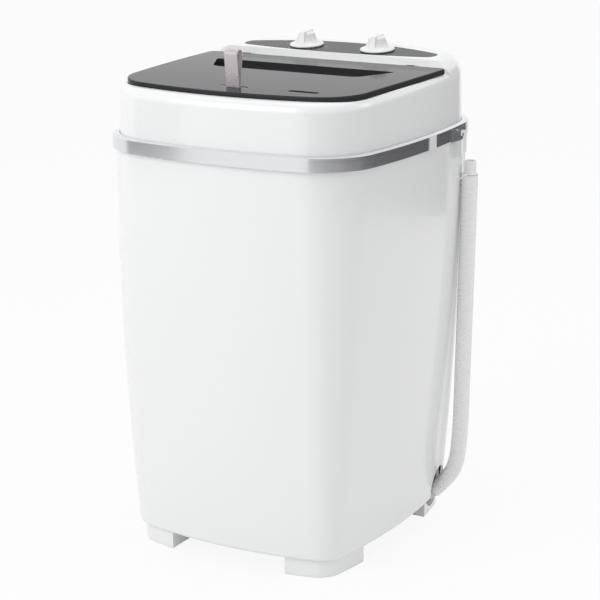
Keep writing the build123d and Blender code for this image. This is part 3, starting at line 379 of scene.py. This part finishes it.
def lathe(profile, steps, close=True):
    """A mesh turned about the Z axis from (radius, height) pairs."""
    mesh = bpy.data.meshes.new("lathe")
    shape = bmesh.new()
    rings = []
    for radius, height in profile:
        if radius < 1e-7:
            rings.append([shape.verts.new((0, 0, height))])
            continue
        angles = [2 * math.pi * step / steps for step in range(steps)]
        rings.append(
            [shape.verts.new((radius * math.cos(a), radius * math.sin(a), height)) for a in angles]
        )
    pairs = list(zip(rings, rings[1:]))
    if close:
        pairs.append((rings[-1], rings[0]))
    for low, high in pairs:
        for step in range(steps):
            after = (step + 1) % steps
            corners = [
                low[step % len(low)], low[after % len(low)],
                high[after % len(high)], high[step % len(high)],
            ]
            unique = list(dict.fromkeys(corners))
            if len(unique) > 2:
                shape.faces.new(unique)
    bmesh.ops.recalc_face_normals(shape, faces=shape.faces)
    shape.to_mesh(mesh)
    shape.free()
    return mesh


def corner_point(out, along, height):
    """A point by its distance towards the right rear corner and its offset across that way."""
    return Vector((
        out * math.cos(HOSE_BEARING) - along * math.sin(HOSE_BEARING),
        out * math.sin(HOSE_BEARING) + along * math.cos(HOSE_BEARING),
        height,
    ))


def console_frame(x, y, lift=0.0):
    """A matrix that stands on the console's slope at x and y."""
    height = CONSOLE_PIVOT[1] + (y - CONSOLE_PIVOT[0]) * math.tan(CONSOLE_SLOPE)
    return (
        Matrix.Translation((x, y, height))
        @ Matrix.Rotation(CONSOLE_SLOPE, 4, "X")
        @ Matrix.Translation((0, 0, lift))
    )


# ---------------------------------------------------------------- geometry node helpers
class Grower:
    """Builds a geometry node tree with named inputs, runs it and gives a plain mesh."""

    def __init__(self, name, inputs):
        self.tree = bpy.data.node_groups.new(name, "GeometryNodeTree")
        self.tree.interface.new_socket("Geometry", in_out="OUTPUT", socket_type="NodeSocketGeometry")
        self.values = {}
        for key, (kind, value) in inputs.items():
            socket = self.tree.interface.new_socket(key, in_out="INPUT", socket_type=kind)
            self.values[socket.identifier] = value
        self.inputs = self.tree.nodes.new("NodeGroupInput")
        self.output = self.tree.nodes.new("NodeGroupOutput")

    def node(self, kind, links=None, **values):
        made = self.tree.nodes.new(kind)
        for key, value in values.items():
            setattr(made, key, value)
        for socket, source in (links or {}).items():
            target = made.inputs[socket]
            if isinstance(source, bpy.types.NodeSocket):
                self.tree.links.new(source, target)
            else:
                target.default_value = source
        return made

    def math(self, operation, first, second=0.0):
        return self.node("ShaderNodeMath", {0: first, 1: second}, operation=operation).outputs[0]

    def input(self, name):
        return self.inputs.outputs[name]

    def finish(self, geometry, finish):
        """Ends the tree in realised instances with their material."""
        real = self.node("GeometryNodeRealizeInstances", {"Geometry": geometry})
        painted = self.node(
            "GeometryNodeSetMaterial", {"Geometry": real.outputs[0], "Material": material(finish)}
        )
        self.tree.links.new(painted.outputs[0], self.output.inputs[0])

    def run(self):
        host = loose_piece(bpy.data.meshes.new("host"), "host")
        modifier = host.modifiers.new("Grower", "NODES")
        modifier.node_group = self.tree
        for identifier, value in self.values.items():
            modifier[identifier] = value
        return evaluated_mesh(host)


LENGTH = "NodeSocketFloat"
COUNT = "NodeSocketInt"
CURVE = "NodeSocketObject"


# ---------------------------------------------------------------- operators
class WASHER_OT_finishes(bpy.types.Operator):
    """Makes the finishes and puts them on the machine's solids"""

    bl_idname = "washer.finishes"
    bl_label = "Finishes"

    def execute(self, context):
        sizes = context.scene.washer_finishes
        finishes.update({
            "casing": gloss_plastic("casing_gloss", sizes.casing, sizes.casing_gloss),
            "knob": gloss_plastic("knob_gloss", (0.86, 0.86, 0.855), 0.28),
            "inner": satin_plastic("inner_satin", (0.80, 0.81, 0.81), 0.38),
            "panel": mirror_plastic("panel_gloss", sizes.lid),
            "band": brushed_metal("band_brushed", sizes.band),
            # The band clip is pale satin, not silver: partly the clip's own colour and partly a painted
            # highlight standing in for the bright strip of light across the band's seam.
            "clip": satin_plastic("clip_and_painted_highlight", (0.80, 0.79, 0.82), 0.35),
            "tab": clear_tab("tab_clear", sizes.tab),
            "hose": gloss_plastic("hose_gloss", (0.96, 0.96, 0.955), 0.36),
            "bracket": satin_plastic("bracket_satin", (0.17, 0.175, 0.18), 0.4),
            "steel": plain_metal("bare_steel", (0.60, 0.60, 0.61)),
            "cover": satin_plastic("rear_cover_satin", (0.70, 0.71, 0.72), 0.4),
            "motor": satin_plastic("motor_paint", (0.045, 0.046, 0.05), 0.4),
            "alloy": plain_metal("cast_alloy", (0.62, 0.63, 0.65), 0.45),
            "rubber": soft_rubber("black_rubber", (0.03, 0.03, 0.031)),
            "mesh": satin_plastic("filter_net", (0.50, 0.62, 0.72), 0.6, 2500.0),
            "control": satin_plastic("control_case", (0.46, 0.46, 0.45), 0.5),
            "mark": satin_plastic("dial_marks", (0.82, 0.82, 0.82), 0.5),
        })
        by_slot = {
            "casing_white": "casing", "knob_white": "knob", "inner_white": "inner",
            "panel_black": "panel", "band_silver": "band", "clip_silver": "clip",
            "tab_tint": "tab", "hose_white": "hose", "bracket_grey": "bracket",
            "bare_steel": "steel", "cover_grey": "cover", "motor_black": "motor",
            "cast_alloy": "alloy", "belt_black": "rubber", "mesh_blue": "mesh",
            "control_grey": "control",
        }
        for entry in frame["record"]["subparts"]:
            dress_node(entry["node"], by_slot[entry["material_slot"]])
        return {"FINISHED"}


# Route of the drain hose in the upright plane through the corner: distance out, height.
HOSE_ROUTE = (
    (192.03, 31.08), (212.84, 49.82), (224.6, 72.0), (228.5, 122.0),
    (229.2, 185.0), (230.8, 290.0), (232.2, 388.0), (233.3, 477.0),
)


def hose_route():
    """The hose's line as one smooth spline."""
    curve = bpy.data.curves.new("hose_route", "CURVE")
    curve.dimensions = "3D"
    curve.resolution_u = 24
    spline = curve.splines.new("NURBS")
    spline.points.add(len(HOSE_ROUTE) - 1)
    for point, (out, height) in zip(spline.points, HOSE_ROUTE):
        point.co = (*corner_point(out * MM, HOSE_OFFSET, height * MM), 1.0)
    spline.order_u = 3
    spline.use_endpoint_u = True
    return loose_piece(curve, "hose_route")


class WASHER_OT_drain_hose(bpy.types.Operator):
    """Makes the drain hose as a bellows tube, with its smooth end and its hanging loop"""

    bl_idname = "washer.drain_hose"
    bl_label = "Drain hose"

    def execute(self, context):
        sizes = context.scene.washer_hose
        route = hose_route()
        graph = bpy.context.evaluated_depsgraph_get()
        line = bpy.data.meshes.new_from_object(route.evaluated_get(graph), depsgraph=graph)
        path = [vertex.co.copy() for vertex in line.vertices]
        length = sum((b - a).length for a, b in zip(path, path[1:]))

        grower = Grower("bellows", {
            "Route": (CURVE, route),
            "Outer Radius": (LENGTH, sizes.outer_radius),
            "Ring Depth": (LENGTH, sizes.ring_depth),
            "Rings": (COUNT, sizes.ring_count),
        })
        source = grower.node("GeometryNodeObjectInfo", {"Object": grower.input("Route")})
        count = grower.math("MULTIPLY", grower.input("Rings"), STEPS_PER_RING)
        spaced = grower.node(
            "GeometryNodeResampleCurve", {"Curve": source.outputs["Geometry"], "Count": count},
        )
        factor = grower.node("GeometryNodeSplineParameter").outputs["Factor"]
        rings_so_far = grower.math("MULTIPLY", factor, grower.input("Rings"))
        wave = grower.math("COSINE", grower.math("MULTIPLY", rings_so_far, math.pi))
        groove = grower.math("POWER", grower.math("ABSOLUTE", wave), GROOVE_SHARPNESS)
        ringed = grower.math("LESS_THAN", factor, 1.0 - PLAIN_END / length)
        groove = grower.math("MULTIPLY", groove, ringed)
        depth = grower.math("MULTIPLY", groove, grower.input("Ring Depth"))
        radius = grower.math("SUBTRACT", grower.input("Outer Radius"), depth)
        round_section = grower.node(
            "GeometryNodeCurvePrimitiveCircle", {"Resolution": HOSE_SIDES, "Radius": 1.0},
        )
        tube = grower.node("GeometryNodeCurveToMesh", {
            "Curve": spaced.outputs[0], "Profile Curve": round_section.outputs["Curve"],
            "Scale": radius, "Fill Caps": True,
        })
        grower.finish(tube.outputs[0], "hose")
        hose = new_piece("hose_bellows", grower.run(), MACHINE, "hose")
        bpy.data.objects.remove(route)
        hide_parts("drain_hose")

        cuff = self.cuff(path)
        strap = self.strap(path[-1])
        return {"FINISHED"}

    def cuff(self, path):
        """The smooth end, with a rounded mouth and a small collar."""
        profile = [
            (9.4, 0.0), (9.4, 3.0), (9.1, 3.5), (8.2, 3.7), (8.0, 4.0), (8.0, 17.8), (7.8, 19.0),
            (7.1, 19.6), (6.3, 19.3), (6.0, 18.6), (6.0, 0.0),
        ]
        mesh = lathe([(r * MM, z * MM) for r, z in profile], 48)
        way = (path[-1] - path[-2]).normalized()
        turn = Vector((0, 0, 1)).rotation_difference(way).to_matrix().to_4x4()
        mesh.transform(Matrix.Translation(path[-1]) @ turn)
        cuff = new_piece("hose_smooth_end", mesh, MACHINE, "hose")
        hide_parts("hose_cuff")
        return cuff

    def strap(self, hose_end):
        """A thin loop from the hook, tied round the hose's end."""
        loop_top = corner_point(222.6 * MM, -3.0 * MM, 512.8 * MM)
        foot = corner_point(216.0 * MM, -4.0 * MM, 482.6 * MM)
        rise = (loop_top - foot).normalized()
        across = corner_point(1.0, 0.0, 0.0)
        across = (across - rise * across.dot(rise)).normalized()
        curve = bpy.data.curves.new("strap", "CURVE")
        curve.dimensions = "3D"
        curve.bevel_depth = STRAND_RADIUS
        curve.bevel_resolution = 4
        curve.resolution_u = 10
        spline = curve.splines.new("NURBS")
        drop = (loop_top - foot).length
        outline = [
            (0.0, drop - 0.8 * MM), (1.1 * MM, drop - 4 * MM), (3.2 * MM, 8 * MM), (4.9 * MM, 1 * MM),
            (2.8 * MM, -4.9 * MM), (-2.8 * MM, -4.9 * MM), (-4.9 * MM, 1 * MM),
            (-3.2 * MM, 8 * MM), (-1.1 * MM, drop - 4 * MM),
        ]
        spline.points.add(len(outline) - 1)
        for point, (side, height) in zip(spline.points, outline):
            point.co = (*(foot + across * side + rise * height), 1.0)
        spline.order_u = 3
        spline.use_cyclic_u = True
        tie = curve.splines.new("NURBS")
        ring_middle = Vector((hose_end.x, hose_end.y, TIE_RING_HEIGHT))
        tie_points = [
            foot + across * LOOP_HALF_WIDTH,
            corner_point(223.5 * MM, 8.0 * MM, 479.4 * MM),
            corner_point(229.2 * MM, 18.0 * MM, 478.7 * MM),
        ]
        tie.points.add(len(tie_points) - 1)
        for point, place in zip(tie.points, tie_points):
            point.co = (*place, 1.0)
        tie.order_u = 3
        tie.use_endpoint_u = True
        ring = curve.splines.new("NURBS")
        ring.points.add(TIE_RING_POINTS - 1)
        for step, point in enumerate(ring.points):
            angle = 2 * math.pi * step / TIE_RING_POINTS
            point.co = (
                ring_middle.x + TIE_RING_RADIUS * math.cos(angle),
                ring_middle.y + TIE_RING_RADIUS * math.sin(angle),
                ring_middle.z, 1.0,
            )
        ring.order_u = 3
        ring.use_cyclic_u = True
        mesh = evaluated_mesh(loose_piece(curve, "strap"))
        strap = new_piece("hose_hanging_loop", mesh, MACHINE, "hose")
        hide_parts("hose_strap")
        return strap


class WASHER_OT_knobs(bpy.types.Operator):
    """Makes the two bell shaped knobs with their grip bars"""

    bl_idname = "washer.knobs"
    bl_label = "Knobs"

    def execute(self, context):
        for name, body, x in (("timer", "timer_dial", -KNOB_X), ("selector", "selector_dial", KNOB_X)):
            mesh = self.knob_mesh()
            mesh.transform(console_frame(x, KNOB_Y))
            knob = new_piece(f"{name}_bell_knob", mesh, body, "knob")
            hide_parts(f"{name}_knob")
        return {"FINISHED"}

    def knob_mesh(self):
        bell = [
            (0, -0.2), (21.9, -0.2), (23.3, 0.5), (23.4, 1.6), (22.6, 2.6), (20.0, 3.4), (17.0, 4.8),
            (14.8, 7.0), (13.2, 10.0), (12.0, 13.5), (11.2, 16.4), (9.6, 17.8), (0, 18.2),
        ]
        mesh = lathe([(r * MM, z * MM) for r, z in bell], 72, close=False)
        grip = bmesh.new()
        grip.from_mesh(mesh)
        bmesh.ops.create_cube(
            grip, size=1.0,
            matrix=Matrix.Translation((0, 0, GRIP_MIDDLE)) @ Matrix.Diagonal((*GRIP_SIZE, 1)),
        )
        for vertex in grip.verts:
            if abs(vertex.co.y) > GRIP_END and vertex.co.z > GRIP_SHOULDER:
                vertex.co.x *= GRIP_TAPER[0]
                vertex.co.y *= GRIP_TAPER[1]
        grip.to_mesh(mesh)
        grip.free()
        work = loose_piece(mesh)
        remesh = work.modifiers.new("Melt", "REMESH")
        remesh.mode = "VOXEL"
        remesh.voxel_size = MELT_GRAIN
        smooth = work.modifiers.new("Smooth", "SMOOTH")
        smooth.iterations = 4
        smooth.factor = 0.6
        return evaluated_mesh(work)


class WASHER_OT_pull_tab(bpy.types.Operator):
    """Makes the clear pull tab on the lid"""

    bl_idname = "washer.pull_tab"
    bl_label = "Pull tab"

    def execute(self, context):
        low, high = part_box("pull_tab")
        middle_y = (low[1] + high[1]) / 2
        head = high[2] - TAB_LOOP_RADIUS - TAB_HEAD_ROOM
        foot = low[2] + TAB_FOOT_RISE
        points = [
            (
                TAB_NECK + (TAB_LOOP_RADIUS - TAB_NECK) * step / TAB_STEPS,
                foot + (head - foot) * step / TAB_STEPS,
            )
            for step in range(TAB_STEPS + 1)
        ]
        side = list(points)
        for degrees in range(15, 180, 15):
            angle = math.radians(degrees)
            points.append((TAB_LOOP_RADIUS * math.cos(angle), head + TAB_LOOP_RADIUS * math.sin(angle)))
        points += [(-y, z) for y, z in reversed(side)]
        shape = bmesh.new()
        half = (high[0] - low[0]) / 2 - 0.2 * MM
        rows = []
        for share in (-1.0, -0.94, -0.5, 0.0, 0.5, 0.94, 1.0):
            rows.append([shape.verts.new((half * share, middle_y + y, z)) for y, z in points])
        for first, second in zip(rows, rows[1:]):
            for step in range(len(points) - 1):
                shape.faces.new((first[step], first[step + 1], second[step + 1], second[step]))
        mesh = bpy.data.meshes.new("tab")
        shape.to_mesh(mesh)
        shape.free()
        work = loose_piece(mesh)
        wall = work.modifiers.new("Wall", "SOLIDIFY")
        wall.thickness = TAB_WALL
        wall.offset = 0.0
        edge = work.modifiers.new("Edge", "BEVEL")
        edge.width = TAB_EDGE
        edge.segments = 2
        edge.limit_method = "ANGLE"
        soften = work.modifiers.new("Soften", "SUBSURF")
        soften.levels = 2
        soften.render_levels = 2
        tab = new_piece("clear_pull_tab", evaluated_mesh(work), "tab", "tab")
        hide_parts("pull_tab")
        return {"FINISHED"}


class WASHER_OT_dial_marks(bpy.types.Operator):
    """Prints plain marks and numbers round the knobs"""

    bl_idname = "washer.dial_marks"
    bl_label = "Dial marks"

    def execute(self, context):
        sizes = context.scene.washer_dials
        self.ticks("timer_marks", -KNOB_X, 16, -150.0, 150.0, sizes)
        self.ticks("selector_marks", KNOB_X, 3, -45.0, 45.0, sizes)
        for index, label in enumerate(("0", "3", "6", "9", "12", "15")):
            self.number(f"timer_number_{label}", label, -KNOB_X, -150.0 + 60.0 * index, sizes)
        for index, label in enumerate(("1", "2", "3")):
            self.number(f"selector_number_{label}", label, KNOB_X, -45.0 + 45.0 * index, sizes)
        return {"FINISHED"}

    def ticks(self, name, x, count, start, end, sizes):
        grower = Grower(name, {
            "Mark Radius": (LENGTH, sizes.tick_radius),
            "Mark Length": (LENGTH, sizes.tick_length),
            "Marks": (COUNT, count),
        })
        step = math.radians(end - start) / (count - 1)
        line = grower.node("GeometryNodeMeshLine", {"Count": grower.input("Marks")})
        index = grower.node("GeometryNodeInputIndex").outputs[0]
        angle = grower.math("ADD", grower.math("MULTIPLY", index, step), math.radians(start))
        place = grower.node("ShaderNodeCombineXYZ", {
            0: grower.math("MULTIPLY", grower.math("SINE", angle), grower.input("Mark Radius")),
            1: grower.math("MULTIPLY", grower.math("COSINE", angle), grower.input("Mark Radius")),
        })
        spots = grower.node(
            "GeometryNodeSetPosition", {"Geometry": line.outputs[0], "Position": place.outputs[0]},
        )
        turn = grower.node("ShaderNodeCombineXYZ", {2: grower.math("MULTIPLY", angle, -1.0)})
        size = grower.node(
            "ShaderNodeCombineXYZ", {0: TICK_WIDTH, 1: grower.input("Mark Length"), 2: TICK_HEIGHT},
        )
        bar = grower.node("GeometryNodeMeshCube", {"Size": size.outputs[0]})
        marks = grower.node("GeometryNodeInstanceOnPoints", {
            "Points": spots.outputs[0], "Instance": bar.outputs[0], "Rotation": turn.outputs[0],
        })
        grower.finish(marks.outputs[0], "mark")
        mesh = grower.run()
        mesh.transform(console_frame(x, KNOB_Y, TICK_LIFT - PANEL_DROP))
        new_piece(name, mesh, MACHINE, "mark", smooth=False)

    def number(self, name, label, x, degrees, sizes):
        text = bpy.data.curves.new(name, "FONT")
        text.body = label
        text.size = sizes.number_height
        text.extrude = NUMBER_LIFT
        text.align_x = "CENTER"
        text.align_y = "CENTER"
        text.resolution_u = 3
        mesh = evaluated_mesh(loose_piece(text))
        angle = math.radians(degrees)
        out_x, out_y = NUMBER_OVAL
        spot = Matrix.Translation((out_x * math.sin(angle), out_y * math.cos(angle), 0))
        mesh.transform(console_frame(x, KNOB_Y, NUMBER_LIFT - PANEL_DROP) @ spot)
        new_piece(name, mesh, MACHINE, "mark", smooth=False)


class WASHER_OT_stage(bpy.types.Operator):
    """Sets the floor, the lights and the camera"""

    bl_idname = "washer.stage"
    bl_label = "Stage"

    def execute(self, context):
        sizes = context.scene.washer_stage
        self.floor()
        self.world(sizes.fill_level)
        self.area("key", (-1.1, -2.4, 2.1), (0.0, 0, 0.35), 2.2, sizes.key_power)
        self.area("side", (2.3, 1.5, 2.0), (0.1, 0, 0.5), 1.4, sizes.key_power * 0.26)
        for index, (start, end) in enumerate(zip(DARK_WALK, DARK_WALK[1:])):
            self.card(f"card_right_{index}", start, end, DARK_WALK_HEIGHT)
        self.card("card_left", *LEFT_CARD, LEFT_CARD_HEIGHT)
        self.area("top", (0.0, 0.4, 2.8), (0, 0, 0.5), 1.8, sizes.key_power * 0.25)
        data = bpy.data.cameras.new("camera")
        data.lens = sizes.lens
        data.sensor_width = SENSOR_WIDTH
        camera = bpy.data.objects.new("camera", data)
        context.scene.collection.objects.link(camera)
        back = Vector((
            math.sin(sizes.azimuth) * math.cos(sizes.elevation),
            -math.cos(sizes.azimuth) * math.cos(sizes.elevation),
            math.sin(sizes.elevation),
        ))
        camera.location = Vector(CAMERA_TARGET) + back * sizes.distance
        camera.rotation_euler = back.to_track_quat("Z", "Y").to_euler()
        context.scene.camera = camera
        context.scene.view_settings.view_transform = "Standard"
        return {"FINISHED"}

    def area(self, name, place, target, size, power):
        data = bpy.data.lights.new(name, "AREA")
        data.shape = "DISK"
        data.size = size
        data.energy = power
        lamp = bpy.data.objects.new(name, data)
        lamp.location = place
        lamp.rotation_euler = (Vector(place) - Vector(target)).to_track_quat("Z", "Y").to_euler()
        bpy.context.scene.collection.objects.link(lamp)

    def card(self, name, start, end, height):
        """A dark upright card that only glossy faces see."""
        mesh = bpy.data.meshes.new(name)
        mesh.from_pydata(
            [(*start, 0), (*end, 0), (*end, height), (*start, height)], [], [(0, 1, 2, 3)]
        )
        card = loose_piece(mesh, name)
        mesh.materials.append(Finish(name, (0.11, 0.11, 0.115), 0.9).material)
        card.visible_camera = False
        card.visible_diffuse = False
        card.visible_transmission = False
        card.visible_shadow = False

    def floor(self):
        mesh = bpy.data.meshes.new("floor")
        corners = [(-1, -1), (1, -1), (1, 1), (-1, 1)]
        mesh.from_pydata(
            [(x * FLOOR_REACH, y * FLOOR_REACH, 0) for x, y in corners], [], [(0, 1, 2, 3)]
        )
        floor = loose_piece(mesh, "floor")
        finish = Finish("floor_pale", (0.86, 0.86, 0.86), 0.7)
        tree = finish.tree
        glow = finish.node("ShaderNodeEmission")
        glow.inputs["Strength"].default_value = 1.0
        paths = finish.node("ShaderNodeLightPath")
        share = finish.node("ShaderNodeMath", operation="MULTIPLY")
        share.inputs[1].default_value = FLOOR_GLOW
        mix = finish.node("ShaderNodeMixShader")
        either = finish.node("ShaderNodeMath", operation="MAXIMUM")
        tree.links.new(paths.outputs["Is Camera Ray"], either.inputs[0])
        tree.links.new(paths.outputs["Is Glossy Ray"], either.inputs[1])
        tree.links.new(either.outputs[0], share.inputs[0])
        tree.links.new(share.outputs[0], mix.inputs["Fac"])
        tree.links.new(finish.shader.outputs[0], mix.inputs[1])
        tree.links.new(glow.outputs[0], mix.inputs[2])
        tree.links.new(mix.outputs[0], tree.nodes["Material Output"].inputs["Surface"])
        mesh.materials.append(finish.material)

    def world(self, level):
        world = bpy.data.worlds.new("studio")
        bpy.context.scene.world = world
        world.use_nodes = True
        tree = world.node_tree
        light = tree.nodes["Background"]
        light.inputs["Color"].default_value = (1, 1, 1, 1)
        light.inputs["Strength"].default_value = level
        seen = tree.nodes.new("ShaderNodeBackground")
        seen.inputs["Color"].default_value = (1, 1, 1, 1)
        seen.inputs["Strength"].default_value = 1.0
        paths = tree.nodes.new("ShaderNodeLightPath")
        either = tree.nodes.new("ShaderNodeMath")
        either.operation = "MAXIMUM"
        any_seen = tree.nodes.new("ShaderNodeMath")
        any_seen.operation = "MAXIMUM"
        mix = tree.nodes.new("ShaderNodeMixShader")
        tree.links.new(paths.outputs["Is Camera Ray"], either.inputs[0])
        tree.links.new(paths.outputs["Is Glossy Ray"], either.inputs[1])
        tree.links.new(either.outputs[0], any_seen.inputs[0])
        tree.links.new(paths.outputs["Is Transmission Ray"], any_seen.inputs[1])
        tree.links.new(any_seen.outputs[0], mix.inputs["Fac"])
        tree.links.new(light.outputs[0], mix.inputs[1])
        tree.links.new(seen.outputs[0], mix.inputs[2])
        tree.links.new(mix.outputs[0], tree.nodes["World Output"].inputs["Surface"])


class WASHER_PT_panel(bpy.types.Panel):
    """Lists the machine's pieces and their sizes"""

    bl_idname = "WASHER_PT_panel"
    bl_label = "Washer"
    bl_space_type = "VIEW_3D"
    bl_region_type = "UI"
    bl_category = "Washer"

    def draw(self, context):
        for operator in OPERATORS:
            self.layout.operator(operator.bl_idname)
        for group, kind in GROUPS.items():
            box = self.layout.box()
            box.label(text=kind.__doc__)
            for key in kind.__annotations__:
                box.prop(getattr(context.scene, group), key)


OPERATORS = (
    WASHER_OT_stage,
    WASHER_OT_finishes,
    WASHER_OT_drain_hose,
    WASHER_OT_knobs,
    WASHER_OT_pull_tab,
    WASHER_OT_dial_marks,
)
GROUPS = {
    "washer_finishes": WasherFinishes,
    "washer_hose": WasherHose,
    "washer_dials": WasherDials,
    "washer_stage": WasherStage,
}


def register():
    for kind in (*GROUPS.values(), *OPERATORS, WASHER_PT_panel):
        bpy.utils.register_class(kind)
    for name, kind in GROUPS.items():
        setattr(bpy.types.Scene, name, PointerProperty(type=kind))


def unregister():
    for name in GROUPS:
        delattr(bpy.types.Scene, name)
    for kind in reversed((*GROUPS.values(), *OPERATORS, WASHER_PT_panel)):
        bpy.utils.unregister_class(kind)


def main():
    register()
    for operator in OPERATORS:
        group, name = operator.bl_idname.split(".")
        getattr(getattr(bpy.ops, group), name)()


if __name__ == "__main__":
    main()
